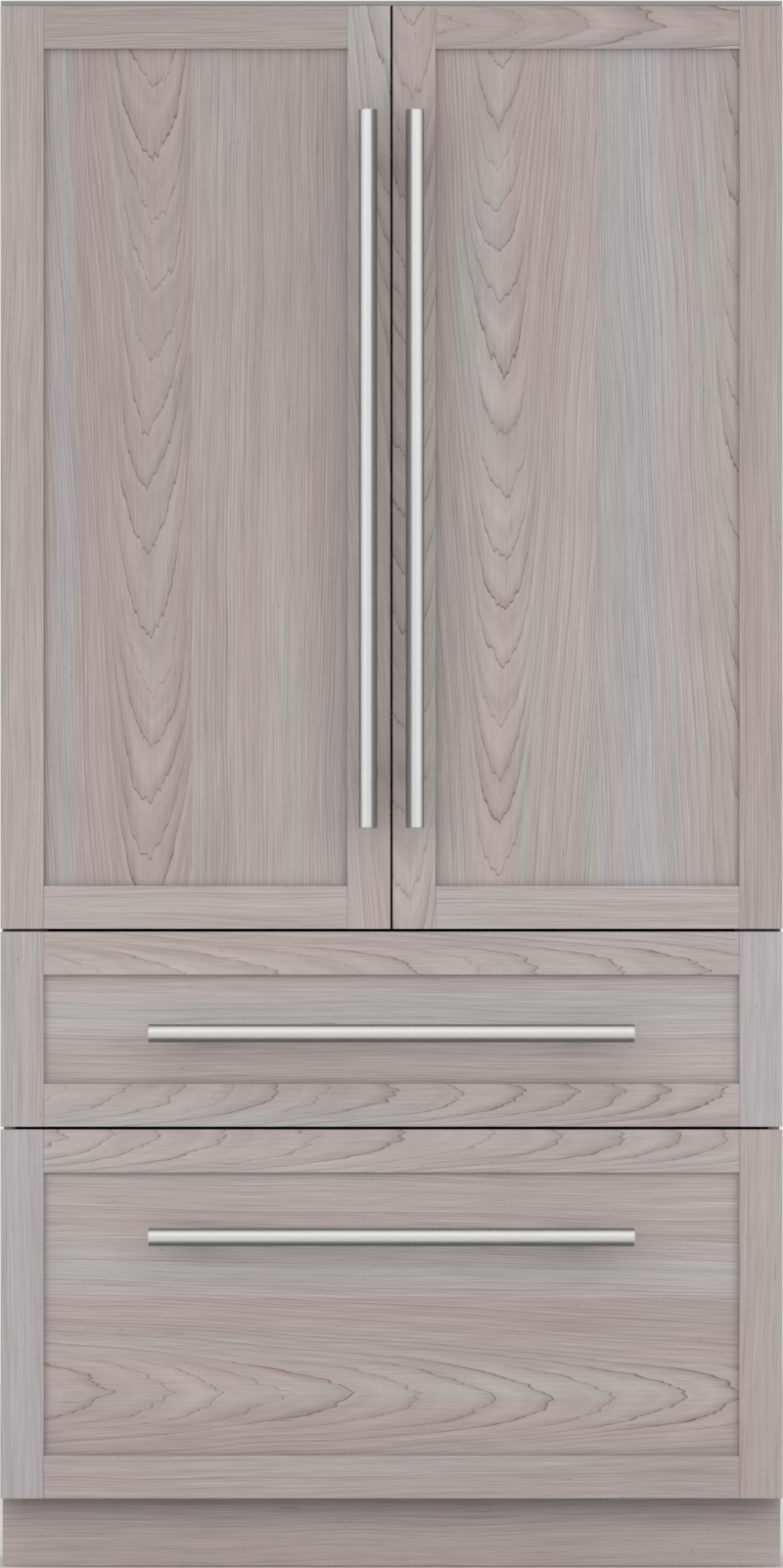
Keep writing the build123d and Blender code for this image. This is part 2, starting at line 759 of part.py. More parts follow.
def basket(z0, z_rim, stepped):
    """A moulded bin that hangs by its rim, stepped over the machine bay when it is deep."""
    with BuildPart() as tub:
        for wall, mode in ((0, Mode.ADD), (basket_wall, Mode.SUBTRACT)):
            levels = [(z0 + wall, basket_back)]
            if stepped:
                levels = [(z0 + wall, step_back), (step_rise + wall, basket_back)]
            for z_low, y_end in levels:
                x, ya, yb = basket_side - wall, basket_front + wall, y_end - wall
                with BuildSketch(Plane.XY.offset(z_low)):
                    with Locations((0, (ya + yb) / 2)):
                        RectangleRounded(2 * x, yb - ya, basket_corner - wall)
                extrude(amount=z_rim + basket_wall - z_low, mode=mode)
        rim = basket_side + hanger_far - hanger_near + basket_gap - 1
        for x, grow, mode in ((rim, 0, Mode.ADD), (basket_side - basket_wall, basket_wall,
                                                   Mode.SUBTRACT)):
            with BuildSketch(Plane.XY.offset(z_rim + running_gap / 3)):
                with Locations((0, (basket_front + basket_back) / 2)):
                    RectangleRounded(2 * x, basket_back - basket_front - 2 * grow,
                                     basket_corner - grow)
            extrude(amount=basket_wall, mode=mode)
    return tub


drawer("upper_drawer", z_upper_bottom, z_upper_top, z_upper_slide, upper_handle_below_top,
       upper_basket_floor, False)
drawer("lower_drawer", kick_height, z_lower_top, z_lower_slide, lower_handle_below_top,
       lower_basket_floor, True)

# Fridge fittings
room_side = half_room - liner_sheet
z_room_floor = z_fridge_floor + liner_sheet
z_room_ceiling = z_ceiling - liner_sheet
y_duct = y_room_back - liner_sheet - fridge_duct_depth
y_track = y_duct - track_depth
shelf_front = y_case + shelf_from_front
crisper_front = y_case + crisper_from_front
crisper_floor = z_room_floor + crisper_lift
crisper_top = crisper_floor + crisper_height
z_cover = crisper_top + cover_above_crisper
open_height = z_room_ceiling - z_cover
duct_side = room_side - duct_from_side
duct_bottom = z_cover + duct_above_cover
freezer_room_low = z_bay_roof + liner_sheet
freezer_room_high = z_freezer_top - liner_sheet
cover_bar_back = crisper_front - cover_bar_setback
fan_z = freezer_room_low + (freezer_room_high - freezer_room_low) * 0.62


def moulding(xs, ys, zs, radius):
    """A length along X with a rounded section."""
    centre = ((ys[0] + ys[1]) / 2, (zs[0] + zs[1]) / 2)
    with BuildSketch(Plane(origin=(min(xs), 0, 0), x_dir=(0, 1, 0), z_dir=(1, 0, 0))) as section:
        with Locations(centre):
            RectangleRounded(ys[1] - ys[0], zs[1] - zs[0], radius)
    extrude(section.sketch, amount=abs(xs[1] - xs[0]))


# Air duct covers: a ribbed tray on the fridge's back, a plate with a fan grille in the freezer
with BuildPart() as duct_covers:
    bar((-duct_side, duct_side), (y_duct, y_duct + fridge_duct_depth),
        (duct_bottom, z_room_ceiling))
    fillet(duct_covers.edges().filter_by(Axis.Z).group_by(Axis.Y)[0], duct_flange / 2)
    bar((-duct_side + duct_flange, duct_side - duct_flange),
        (y_duct + duct_sheet, y_duct + fridge_duct_depth + 1),
        (duct_bottom + duct_flange, z_room_ceiling - duct_flange), Mode.SUBTRACT)
    with BuildSketch(Plane.XZ.offset(1 - y_duct)):
        with Locations((0, (duct_bottom + z_room_ceiling) / 2)):
            with GridLocations(vent_width * 6, open_height * vent_pitch_share, 2, vent_rows):
                Rectangle(vent_width, vent_height)
    extrude(amount=-duct_sheet - 2, mode=Mode.SUBTRACT)
    bar((-room_side, room_side), (y_freezer_duct, y_freezer_duct + duct_sheet),
        (freezer_room_low, freezer_room_high))
    for turn in range(1, grille_rings + 1):
        ring_radius = freezer_fan_radius * turn / grille_rings
        with BuildSketch(Plane.XZ.offset(1 - y_freezer_duct)):
            with Locations((0, fan_z)):
                Circle(ring_radius)
                Circle(ring_radius - grille_bar, mode=Mode.SUBTRACT)
                for angle in (45, 135):
                    Rectangle(freezer_fan_radius * 3, grille_spoke, rotation=angle,
                              mode=Mode.SUBTRACT)
        extrude(amount=-duct_sheet - 2, mode=Mode.SUBTRACT)
save(duct_covers, "duct_covers")

# Shelves: slotted tracks, cantilever arms, a front trim and a pane of glass each
column_inner = shelf_side_gap
column_outer = room_side - shelf_side_gap
arms = (column_inner + arm_inset, column_outer - arm_inset)
arm_front = shelf_front + shelf_trim + shelf_lip
arm_back = y_track - running_gap
slot_width, slot_height, slot_depth = track_slot
track_bottom = duct_bottom + track_margin / 3
track_top = z_room_ceiling - track_margin
slot_count = int((track_top - track_bottom - track_margin) // track_pitch)
with BuildPart() as shelf_supports:
    for side, shares in zip((-1, 1), shelf_shares):
        for x in arms:
            bar((side * x - track_width / 2, side * x + track_width / 2), (y_track, y_duct),
                (track_bottom, track_top))
            for slot in range(slot_count):
                z = track_bottom + track_margin + slot * track_pitch
                bar((side * x - slot_width / 2, side * x + slot_width / 2),
                    (y_track - 1, y_track + slot_depth), (z, z + slot_height), Mode.SUBTRACT)
        for share in shares:
            z_arm = z_cover + share * open_height - glass_thickness
            for x in arms:
                with BuildSketch(Plane(origin=(side * x - bracket_sheet / 2, 0, 0),
                                       x_dir=(0, 1, 0), z_dir=(1, 0, 0))):
                    with BuildLine():
                        Polyline((arm_front, z_arm - bracket_tip), (arm_front, z_arm),
                                 (arm_back, z_arm), (arm_back, z_arm - bracket_height),
                                 (arm_back - bracket_root, z_arm - bracket_height))
                        ThreePointArc((arm_back - bracket_root, z_arm - bracket_height),
                                      ((arm_front + arm_back - bracket_root) / 2,
                                       z_arm - bracket_height * 0.6),
                                      (arm_front, z_arm - bracket_tip))
                    make_face()
                extrude(amount=bracket_sheet)
            moulding(span(side, column_inner, column_outer), (shelf_front, shelf_front + shelf_trim),
                     (z_arm - bracket_tip, z_arm + glass_thickness + shelf_lip), shelf_trim / 3)
save(shelf_supports, "shelf_supports")

with BuildPart() as shelf_glass:
    for side, shares in zip((-1, 1), shelf_shares):
        for share in shares:
            z = z_cover + share * open_height
            bar(span(side, column_inner, column_outer),
                (shelf_front + shelf_trim + joint_line, y_track - track_depth / 2),
                (z - glass_thickness, z))
    bar((-room_side + shelf_side_gap, room_side - shelf_side_gap),
        (cover_bar_back, y_duct - running_gap), (z_cover, z_cover + glass_thickness))
save(shelf_glass, "shelf_glass")

# Crisper frame: the front bar, side ledges and middle hanger that carry the crispers
crisper_side = room_side - crisper_from_side
ledge_top = crisper_top - crisper_wall - running_gap
y_crisper_back = y_duct - crisper_rim
deck_bottom = z_cover - cover_deck
with BuildPart() as crisper_frame:
    moulding((-room_side, room_side), (cover_bar_back - cover_bar_depth, cover_bar_back - joint_line),
             (z_cover - cover_bar_drop, z_cover + glass_thickness * 2), cover_bar_depth / 4)
    bar((-room_side, room_side), (cover_bar_back, y_duct), (deck_bottom, z_cover))
    bar((-room_side + duct_from_side, room_side - duct_from_side),
        (crisper_front + ledge, y_duct - duct_flange), (deck_bottom - 1, z_cover + 1),
        Mode.SUBTRACT)
    bar((-crisper_centre / 4, crisper_centre / 4), (crisper_front, y_duct),
        (ledge_top - ledge, deck_bottom - seam))
    bar((-crisper_centre, crisper_centre), (crisper_front, y_duct), (ledge_top - ledge, ledge_top))
    for side in (-1, 1):
        bar(span(side, crisper_side - crisper_rim, room_side), (crisper_front, y_duct),
            (ledge_top - ledge, ledge_top))
save(crisper_frame, "crisper_frame")

crisper_near = crisper_centre + 2.0
crisper_far = crisper_side - crisper_rim - 2.0
pull_width, pull_reach, pull_thickness = crisper_pull


def crisper(side):
    """A clear bin that slides by its rim, with a taller front and a pull along it."""
    near, far = span(side, crisper_near, crisper_far)
    centre, width = (near + far) / 2, far - near
    middle, depth = (crisper_front + y_crisper_back) / 2, y_crisper_back - crisper_front
    with BuildPart() as tub:
        for wall, mode in ((0, Mode.ADD), (crisper_wall, Mode.SUBTRACT)):
            with BuildSketch(Plane.XY.offset(crisper_floor + wall)):
                with Locations((centre, middle)):
                    RectangleRounded(width - 2 * wall, depth - 2 * wall,
                                     basket_corner - wall)
            extrude(amount=crisper_height, mode=mode)
            if mode == Mode.ADD:
                with BuildSketch(Plane.XY.offset(crisper_top - crisper_wall)):
                    with Locations((centre, middle)):
                        RectangleRounded(width + 2 * crisper_rim, depth, basket_corner)
                extrude(amount=crisper_wall)
        bar((near - crisper_rim, far + crisper_rim),
            (crisper_front - crisper_wall, crisper_front), (crisper_floor, crisper_top + crisper_lip))
        z_pull = crisper_top - pull_below_rim - pull_thickness / 2
        moulding((centre - pull_width / 2, centre + pull_width / 2),
                 (crisper_front - crisper_wall - pull_reach, crisper_front - crisper_wall / 2),
                 (z_pull - pull_thickness / 2, z_pull + pull_thickness / 2), pull_thickness / 2.5)
    return tub


save(crisper(-1), "left_crisper")
save(crisper(1), "right_crisper")

# Lamp lens and touch buttons in the fridge's ceiling
console_width, console_depth, console_height = console_size
console_face = z_room_ceiling - console_height
with BuildPart() as ceiling_console:
    y_console = y_case + console_from_front
    bar((-console_width / 2, console_width / 2), (y_console, y_console + console_depth),
        (console_face, z_room_ceiling))
    fillet(ceiling_console.edges().group_by(Axis.Z)[0], console_corner)
    with BuildSketch(Plane.XY.offset(console_face - 1)):
        with Locations((0, y_console + console_depth * 0.64)):
            RectangleRounded(console_width * 0.8, console_depth * 0.45, console_corner)
    extrude(amount=console_corner, mode=Mode.SUBTRACT)
    with BuildSketch(Plane.XY.offset(console_face - edge_ease)):
        with Locations((0, y_console + console_depth * 0.2)):
            with GridLocations(button_pitch, 0, 5, 1):
                Circle(button_radius)
    extrude(amount=edge_ease * 2)
save(ceiling_console, "ceiling_console")

# Base frame: folded rails and cross beams, machine tray, kick clips and roller forks
rail_side = half_case - sheet - seam
rail_inner = rail_side - rail_flange
front_beam_back = foam_front + beam_depth
rear_beam_back = y_back - rear_margin
rear_beam_front = rear_beam_back - beam_depth
tray_z = base_bottom + tray_lift
foot_x = rail_side - foot_inset
front_foot_y = y_case + foot_from_front
rear_foot_y = y_back - foot_from_back
foot_places = [(side * foot_x, y) for side in (-1, 1) for y in (front_foot_y, rear_foot_y)]
roller_x = foot_x
roller_y = y_back - roller_from_back
axle_z = roller_radius + roller_lift
fork_inner = roller_width / 2 + running_gap * 2
fork_outer = fork_inner + base_sheet
fork_top = base_bottom + rail_flange
fork_ys = (roller_y - fork_half, roller_y + fork_half)
y_kick_back = y_face + kick_setback + kick_thickness
clip_z = base_bottom + base_sheet * 3
with BuildPart() as base_frame:
    for side in (-1, 1):
        bar(span(side, rail_inner, rail_side), (front_beam_back, rear_beam_front),
            (base_bottom, z_base_top))
        bar(span(side, rail_inner - 1, rail_side - base_sheet), (y_case, y_back),
            (base_bottom + base_sheet, z_base_top - base_sheet), Mode.SUBTRACT)
        for near, far in ((-fork_outer, -fork_inner), (fork_inner, fork_outer)):
            bar((side * roller_x + near, side * roller_x + far), fork_ys,
                (axle_z - fork_below_axle, fork_top))
        bar((side * roller_x - fork_outer, side * roller_x + fork_outer), fork_ys,
            (fork_top, fork_top + base_sheet))
        rod((side * roller_x - fork_outer, roller_y, axle_z), roller_axle / 2,
            2 * fork_outer, ALONG_RIGHT)
        bar(span(side, roller_x + fork_inner, rail_inner + base_sheet), fork_ys,
            (fork_top, fork_top + base_sheet))
    beams = ((foam_front, front_beam_back - seam), (rear_beam_front + seam, rear_beam_back))
    for y0, y1 in beams:
        bar((-rail_side, rail_side), (y0, y1), (base_bottom, z_base_top))
        bar((-rail_side - 1, rail_side + 1), (y0 + base_sheet, y1 - base_sheet),
            (base_bottom - 1, z_base_top - base_sheet), Mode.SUBTRACT)
    bar((-rail_inner + seam, rail_inner - seam), (y_bay + rear_margin, rear_beam_front),
        (tray_z - base_sheet + seam, tray_z))
    bar((-rail_inner + seam, rail_inner - seam), (front_beam_back, y_bay - bay_wall),
        (z_base_top - base_sheet, z_base_top))
    for place in (-1, 0, 1):
        clip = (place * half_case * clip_share - clip_width / 2,
                place * half_case * clip_share + clip_width / 2)
        bar(clip, (y_kick_back, foam_front - seam), (clip_z, clip_z + base_sheet))
        bar(clip, (y_kick_back, y_kick_back + base_sheet), (clip_z, z_base_top - fork_half))
    for (x, y), (y0, y1) in zip(foot_places, beams * 2):
        bar((x - foot_plate / 2, x + foot_plate / 2), (y0 + 1, y1 - 1),
            (base_bottom, base_bottom + base_sheet))
        rod((x, y, base_bottom - 1), foot_stud / 2 + running_gap, kick_height, ALONG_UP,
            Mode.SUBTRACT)
save(base_frame, "base_frame")

with BuildPart() as levelling_feet:
    for x, y in foot_places:
        rod((x, y, 0), foot_pad / 2, foot_pad_height, ALONG_UP)
        rod((x, y, foot_pad_height - 1), foot_stud / 2, base_bottom + foot_stud_rise, ALONG_UP)
        with BuildSketch(Plane.XY.offset(base_bottom - foot_nut_height - seam)):
            with Locations((x, y)):
                RegularPolygon(foot_nut_radius, 6)
        extrude(amount=foot_nut_height)
    pads = levelling_feet.edges().filter_by(GeomType.CIRCLE).filter_by_position(
        Axis.Z, foot_pad_height, foot_pad_height)
    chamfer(pads.filter_by(lambda e: e.radius > foot_stud), foot_pad_chamfer)
save(levelling_feet, "levelling_feet")


def roller(side):
    """A moulded wheel, dished on both sides round its hub."""
    half, hub = roller_width / 2, roller_axle
    bore, rim = roller_axle / 2 + pin_clearance, roller_radius - foot_pad_chamfer * 3
    web = roller_web / 2
    x = side * roller_x
    with BuildPart() as wheel:
        with BuildSketch(Plane.XY.offset(axle_z)):
            with BuildLine():
                Polyline((x - half + 1, roller_y + bore), (x - half + 1, roller_y + hub),
                         (x - web, roller_y + hub), (x - web, roller_y + rim),
                         (x - half, roller_y + rim),
                         (x - half, roller_y + roller_radius - foot_pad_chamfer),
                         (x - half + foot_pad_chamfer, roller_y + roller_radius),
                         (x + half - foot_pad_chamfer, roller_y + roller_radius),
                         (x + half, roller_y + roller_radius - foot_pad_chamfer),
                         (x + half, roller_y + rim), (x + web, roller_y + rim),
                         (x + web, roller_y + hub), (x + half - 1, roller_y + hub),
                         (x + half - 1, roller_y + bore), close=True)
            make_face()
        revolve(axis=Axis((x, roller_y, axle_z), (1, 0, 0)))
    return wheel


save(roller(-1), "left_roller")
save(roller(1), "right_roller")

with BuildPart() as toe_kick:
    bar((-half_width + kick_side_gap, half_width - kick_side_gap),
        (y_face + kick_setback, y_kick_back), (kick_floor_gap, kick_height + kick_top_gap))
    chamfer(toe_kick.edges().filter_by(Axis.Z).group_by(Axis.Y)[0], edge_ease)
save(toe_kick, "toe_kick")

# Compressor: two drawn shells, welded at a flange, on a strap with rubber grommets
compressor_x = -rail_inner + compressor_from_side
compressor_y = (y_bay + y_back) / 2
shell_z = tray_z + grommet_height
strap_width, strap_depth, strap_sheet = foot_strap
box_reach, box_width, box_rise = terminal_box
with BuildPart() as compressor:
    rod((compressor_x, compressor_y, shell_z + strap_sheet), compressor_radius,
        compressor_height, ALONG_UP)
    fillet(compressor.edges().filter_by(GeomType.CIRCLE).sort_by(Axis.Z)[-1], dome_radius)
    rod((compressor_x, compressor_y, shell_z + compressor_height / 2),
        compressor_radius + weld_flange, weld_flange * 2, ALONG_UP)
    bar((compressor_x - strap_width / 2, compressor_x + strap_width / 2),
        (compressor_y - strap_depth / 2, compressor_y + strap_depth / 2),
        (shell_z, shell_z + strap_sheet))
    for dx in (-1, 1):
        for dy in (-1, 1):
            rod((compressor_x + dx * (strap_width / 2 - grommet_radius),
                 compressor_y + dy * (strap_depth / 2 - grommet_radius), tray_z),
                grommet_radius, grommet_height + strap_sheet * 2, ALONG_UP)
    bar((compressor_x + compressor_radius * 0.8, compressor_x + compressor_radius * 0.8 + box_reach),
        (compressor_y - box_width / 2, compressor_y + box_width / 2),
        (shell_z + box_width * 0.8, shell_z + box_width * 0.8 + box_rise))
    rod((compressor_x - compressor_radius * 0.6, compressor_y, shell_z + compressor_height * 0.7),
        tube_radius, compressor_radius, ALONG_UP)
save(compressor, "compressor")

# Condenser fan: a ring shroud on a plate, with its motor on three arms
fan_x = compressor_x + fan_from_compressor
fan_y = compressor_y
condenser_fan_z = tray_z + condenser_fan_radius + fan_clearance * 4
fan_centre = (fan_x, fan_y, condenser_fan_z)
opening_radius = condenser_fan_radius + fan_clearance
plate_x = fan_x + shroud_depth / 2
motor_x = plate_x + shroud_sheet * 2
with BuildPart() as fan_shroud:
    bar((plate_x, plate_x + shroud_sheet), (y_bay + rear_margin, rear_beam_front - rear_margin),
        (tray_z, bay_height - rear_margin))
    rod((fan_x - shroud_depth / 2, fan_y, condenser_fan_z), opening_radius + shroud_sheet,
        shroud_depth + 1, ALONG_RIGHT)
    rod((fan_x - shroud_depth, fan_y, condenser_fan_z), opening_radius, shroud_depth * 2,
        ALONG_RIGHT, Mode.SUBTRACT)
    rod((motor_x, fan_y, condenser_fan_z), motor_radius, motor_length, ALONG_RIGHT)
    with BuildSketch(Plane(origin=(plate_x, fan_y, condenser_fan_z), x_dir=(0, 1, 0),
                           z_dir=(1, 0, 0))):
        with PolarLocations(opening_radius / 2 + motor_radius / 4, 3, start_angle=30):
            Rectangle(opening_radius, grille_bar)
    extrude(amount=shroud_sheet * 3)
    rod((motor_x + 1, fan_y, condenser_fan_z), shaft_diameter / 2, -shroud_depth, ALONG_RIGHT)
save(fan_shroud, "fan_shroud")


def axial_fan(centre, normal, x_dir, radius, hub, width):
    """A hub with pitched blades, bored for its motor's shaft."""
    hub_plane = Plane(origin=centre, x_dir=x_dir, z_dir=normal)
    root = hub * 0.8
    with BuildPart() as fan:
        with BuildSketch(hub_plane):
            Circle(hub)
        extrude(amount=width / 2, both=True)
        for blade in range(blade_count):
            turned = Rotation(0, 0, blade * 360 / blade_count) * Rotation(blade_pitch, 0, 0)
            with BuildSketch(Plane(hub_plane.location * turned)):
                with Locations(((root + radius) / 2, 0)):
                    RectangleRounded(radius - root, radius * 0.52, radius * 0.16)
            extrude(amount=blade_sheet / 2, both=True)
        with BuildSketch(hub_plane):
            Circle(shaft_diameter / 2 + pin_clearance)
        extrude(amount=width * 2, both=True, mode=Mode.SUBTRACT)
    return fan


save(axial_fan(fan_centre, (1, 0, 0), (0, 1, 0), condenser_fan_radius, fan_hub_radius,
               fan_hub_width), "condenser_fan")

fan_back = y_freezer_duct + duct_sheet + small_hub_width
save(axial_fan((0, fan_back, fan_z), (0, -1, 0), (1, 0, 0), freezer_fan_radius - fan_clearance,
               small_hub_radius, small_hub_width), "freezer_fan")

# Its motor, seated on the back wall of the liner
motor_front = fan_back + small_hub_width / 2 + fan_clearance
y_wall = y_room_back - liner_sheet - seam
with BuildPart() as freezer_fan_motor:
    rod((0, motor_front, fan_z), small_motor_radius, y_wall - motor_front, ALONG_BACK)
    chamfer(freezer_fan_motor.edges().filter_by(GeomType.CIRCLE).sort_by(Axis.Y)[0], shroud_sheet)
    rod((0, motor_front + 1, fan_z), shaft_diameter / 2, fan_back - motor_front - 2 - fan_hub_width / 2,
        ALONG_BACK)
    bar((-small_motor_radius * 1.8, small_motor_radius * 1.8), (y_wall - shroud_sheet, y_wall),
        (fan_z - small_motor_radius / 3, fan_z + small_motor_radius / 3))


def coil(x0, x1, y, z0, runs):
    """A tube that runs to and fro along X, with a half-round bend at each end."""
    with BuildPart() as tube:
        with BuildLine(Plane.XZ.offset(-y)) as route:
            for run in range(runs):
                z = z0 + run * tube_pitch
                start, end = (x0, x1) if run % 2 == 0 else (x1, x0)
                Line((start, z), (end, z))
                if run < runs - 1:
                    bulge = tube_pitch / 2 if run % 2 == 0 else -tube_pitch / 2
                    ThreePointArc((end, z), (end + bulge, z + tube_pitch / 2),
                                  (end, z + tube_pitch))
        with BuildSketch(Plane(origin=(x0, y, z0), x_dir=(0, 1, 0), z_dir=(1, 0, 0))) as section:
            Circle(tube_radius)
        sweep(section.sketch, path=route.wires()[0])
    return tube


# Condenser: one tube to and fro through upright fins, over the drain pan
condenser_x0 = fan_x + condenser_from_fan
condenser_x1 = rail_inner - condenser_from_side
condenser_y0, condenser_y1 = y_bay + rail_flange, rear_beam_front - fan_clearance * 2
condenser_z0, condenser_z1 = tray_z + pan_height + grille_bar, bay_height - rail_flange
condenser_y = (condenser_y0 + condenser_y1) / 2
with BuildPart() as condenser:
    fin_pitch = (condenser_x1 - condenser_x0) / (condenser_fins - 1)
    for fin in range(condenser_fins):
        x = condenser_x0 + fin * fin_pitch
        bar((x - fin_sheet / 2, x + fin_sheet / 2), (condenser_y0, condenser_y1),
            (condenser_z0, condenser_z1))
    for x in (condenser_x0 - ledge, condenser_x1 + ledge):
        bar((x - end_plate / 2, x + end_plate / 2), (condenser_y0, condenser_y1),
            (tray_z + seam, condenser_z1 + fan_clearance))
    add(coil(condenser_x0 - ledge * 2, condenser_x1 + ledge * 2, condenser_y,
             condenser_z0 + tube_pitch / 2, 3).part)
save(condenser, "condenser")

with BuildPart() as drain_pan:
    pan_floor = tray_z + seam
    for wall, mode in ((0, Mode.ADD), (pan_wall, Mode.SUBTRACT)):
        with BuildSketch(Plane.XY.offset(pan_floor + wall)):
            with Locations(((condenser_x0 + condenser_x1) / 2, condenser_y)):
                RectangleRounded(condenser_x1 - condenser_x0 - 2 * ledge / 2 - 2 * wall,
                                 condenser_y1 - condenser_y0 - ledge - 2 * wall, ledge)
        extrude(amount=pan_height, mode=mode)
save(drain_pan, "drain_pan")

# Evaporator behind the freezer cover, on two end plates under the fan's motor
with BuildPart() as evaporator:
    add(freezer_fan_motor.part)
    y0, y1 = y_freezer_duct + freezer_duct_depth / 2, y_wall - shroud_sheet
    z0, z1 = freezer_room_low + rail_flange, fan_z - freezer_fan_radius - duct_flange
    for fin in range(evaporator_fins):
        x = (2 * fin / (evaporator_fins - 1) - 1) * evaporator_half
        bar((x - fin_sheet / 2, x + fin_sheet / 2), (y0, y1), (z0, z1))
    for side in (-1, 1):
        plate = evaporator_half + ledge
        bar(span(side, plate, plate + end_plate), (y0, y_wall), (z0, z1))
        bar(span(side, plate, plate + 2 * ledge), (y_wall - end_plate, y_wall), (z0, z1))
    add(coil(-evaporator_half - 2 * ledge, evaporator_half + 2 * ledge, (y0 + y1) / 2,
             z0 + tube_pitch / 2, 4).part)
save(evaporator, "evaporator")

# Rear machine cover with louvres, and the power inlet let into it
inlet_x = -half_case + inlet_from_side
inlet_z = z_base_top + inlet_above_base
louvre_x0 = -half_case + louvres_from_inlet_side
louvre_x1 = half_case - louvres_from_far_side
louvre_step = (louvre_x1 - louvre_x0) / (louvre_columns - 1)
with BuildPart() as machine_cover:
    bar((-half_case + cover_side_gap, half_case - cover_side_gap), (y_back - sheet, y_back),
        (z_base_top + seam, bay_height - seam))
    with BuildSketch(Plane.XZ.offset(-y_back - 1)):
        with Locations(((louvre_x0 + louvre_x1) / 2, (z_base_top + bay_height) / 2)):
            with GridLocations(louvre_step, louvre_pitch, louvre_columns, louvre_rows):
                Rectangle(louvre_length, louvre_height)
        with Locations((inlet_x, inlet_z)):
            Rectangle(inlet_width, inlet_height)
    extrude(amount=sheet + 2, mode=Mode.SUBTRACT)
save(machine_cover, "machine_cover")

socket_width, socket_height, socket_depth = socket_size
pin_sheet, pin_length, pin_height = blade_size
with BuildPart() as power_inlet:
    bar((inlet_x - inlet_width / 2 + running_gap, inlet_x + inlet_width / 2 - running_gap),
        (y_back - inlet_depth, y_back),
        (inlet_z - inlet_height / 2 + running_gap, inlet_z + inlet_height / 2 - running_gap))
    fillet(power_inlet.edges().filter_by(Axis.Y), inlet_corner)
    with BuildSketch(Plane.XZ.offset(-y_back)):
        with Locations((inlet_x, inlet_z)):
            RectangleRounded(socket_width, socket_height, inlet_corner)
    extrude(amount=socket_depth, mode=Mode.SUBTRACT)
    for dx, dz in ((-1, -1), (0, 1.5), (1, -1)):
        x, z = inlet_x + dx * socket_width * 0.28, inlet_z + dz * pin_sheet
        bar((x - pin_sheet / 2, x + pin_sheet / 2),
            (y_back - socket_depth - 1, y_back - socket_depth + pin_length - 1),
            (z - pin_height / 2, z + pin_height / 2))
save(power_inlet, "power_inlet")
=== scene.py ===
# %% [markdown]
# # A fridge freezer behind wood fronts
#
# The appliance is built into a kitchen wall, so what shows of it is joinery: two shaker
# doors over two shaker drawers and a toe kick, with round steel bars to pull them by.
# The steel, foam, plastic and glass behind the fronts come from the CAD model with
# their real shapes. Blender gives them their finishes. It makes the wood again, board
# by board, because the look of wood depends on how each board was cut from its log.

# %% Load the CAD model and note its box
import json
import math
import bmesh
import bpy
from mathutils import Matrix, Vector


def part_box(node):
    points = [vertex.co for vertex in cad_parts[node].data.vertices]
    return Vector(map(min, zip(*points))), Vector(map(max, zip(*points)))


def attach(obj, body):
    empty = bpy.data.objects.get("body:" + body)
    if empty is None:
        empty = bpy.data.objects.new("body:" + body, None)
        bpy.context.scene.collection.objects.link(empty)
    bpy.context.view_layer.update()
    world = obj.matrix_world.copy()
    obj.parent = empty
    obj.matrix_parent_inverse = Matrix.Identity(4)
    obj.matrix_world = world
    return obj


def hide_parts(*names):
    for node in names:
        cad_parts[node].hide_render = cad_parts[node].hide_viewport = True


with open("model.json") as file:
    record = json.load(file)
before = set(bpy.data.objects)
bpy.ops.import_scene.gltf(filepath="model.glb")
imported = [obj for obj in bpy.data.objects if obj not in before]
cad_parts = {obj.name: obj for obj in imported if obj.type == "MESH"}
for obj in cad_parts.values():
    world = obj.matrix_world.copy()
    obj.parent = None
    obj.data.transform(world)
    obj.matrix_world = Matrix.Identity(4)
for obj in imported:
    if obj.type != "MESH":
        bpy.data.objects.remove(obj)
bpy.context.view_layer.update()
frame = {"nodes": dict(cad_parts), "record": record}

# %% [markdown]
# ## Camera
#
# The picture looks straight at the fronts with hardly any perspective: the toe kick
# stands 52 mm further back than the doors and is no narrower for it. A camera 40 m away
# with a very long lens gives that. The picture is about a millimetre taller than the
# appliance, and the lens follows from that height and the distance.

# %% A long lens, straight ahead
front_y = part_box("left_door_frame")[0].y
picture_height = 2.1353
picture_middle = 1.0670
camera_distance = 40.0
long_lens = bpy.data.cameras.new("long_lens")
long_lens.sensor_width = 36.0
long_lens.lens = long_lens.sensor_width * camera_distance / picture_height
long_lens.clip_end = 5 * camera_distance
camera = bpy.data.objects.new("camera", long_lens)
camera.location = (0.0, front_y - camera_distance, picture_middle)
camera.rotation_euler = (math.pi / 2, 0.0, 0.0)
bpy.context.scene.collection.objects.link(camera)
bpy.context.scene.camera = camera
print("lens in millimetres:", round(long_lens.lens, 1))

# %% [markdown]
# ## Colours and nodes
#
# Colours are written as sRGB hex, which is what a colour picker shows. Blender's sockets
# take linear light, so one function turns the one into the other. A second function adds
# a node with its settings, and links or sets its inputs, which keeps a material readable
# from top to bottom. A third starts a material with a bare shader.

# %% Helpers for materials
def linear(hex_code):
    """The linear colour of an sRGB hex code."""
    shares = (int(hex_code[i:i + 2], 16) / 255 for i in (1, 3, 5))
    return (*(s / 12.92 if s <= 0.04045 else ((s + 0.055) / 1.055) ** 2.4
              for s in shares), 1.0)


def add(tree, kind, settings, inputs):
    """A node with its settings, and its inputs linked to sockets or set to values."""
    made = tree.nodes.new(kind)
    for name, value in settings.items():
        setattr(made, name, value)
    for key, value in inputs.items():
        if isinstance(value, bpy.types.NodeSocket):
            tree.links.new(value, made.inputs[key])
        else:
            made.inputs[key].default_value = value
    return made


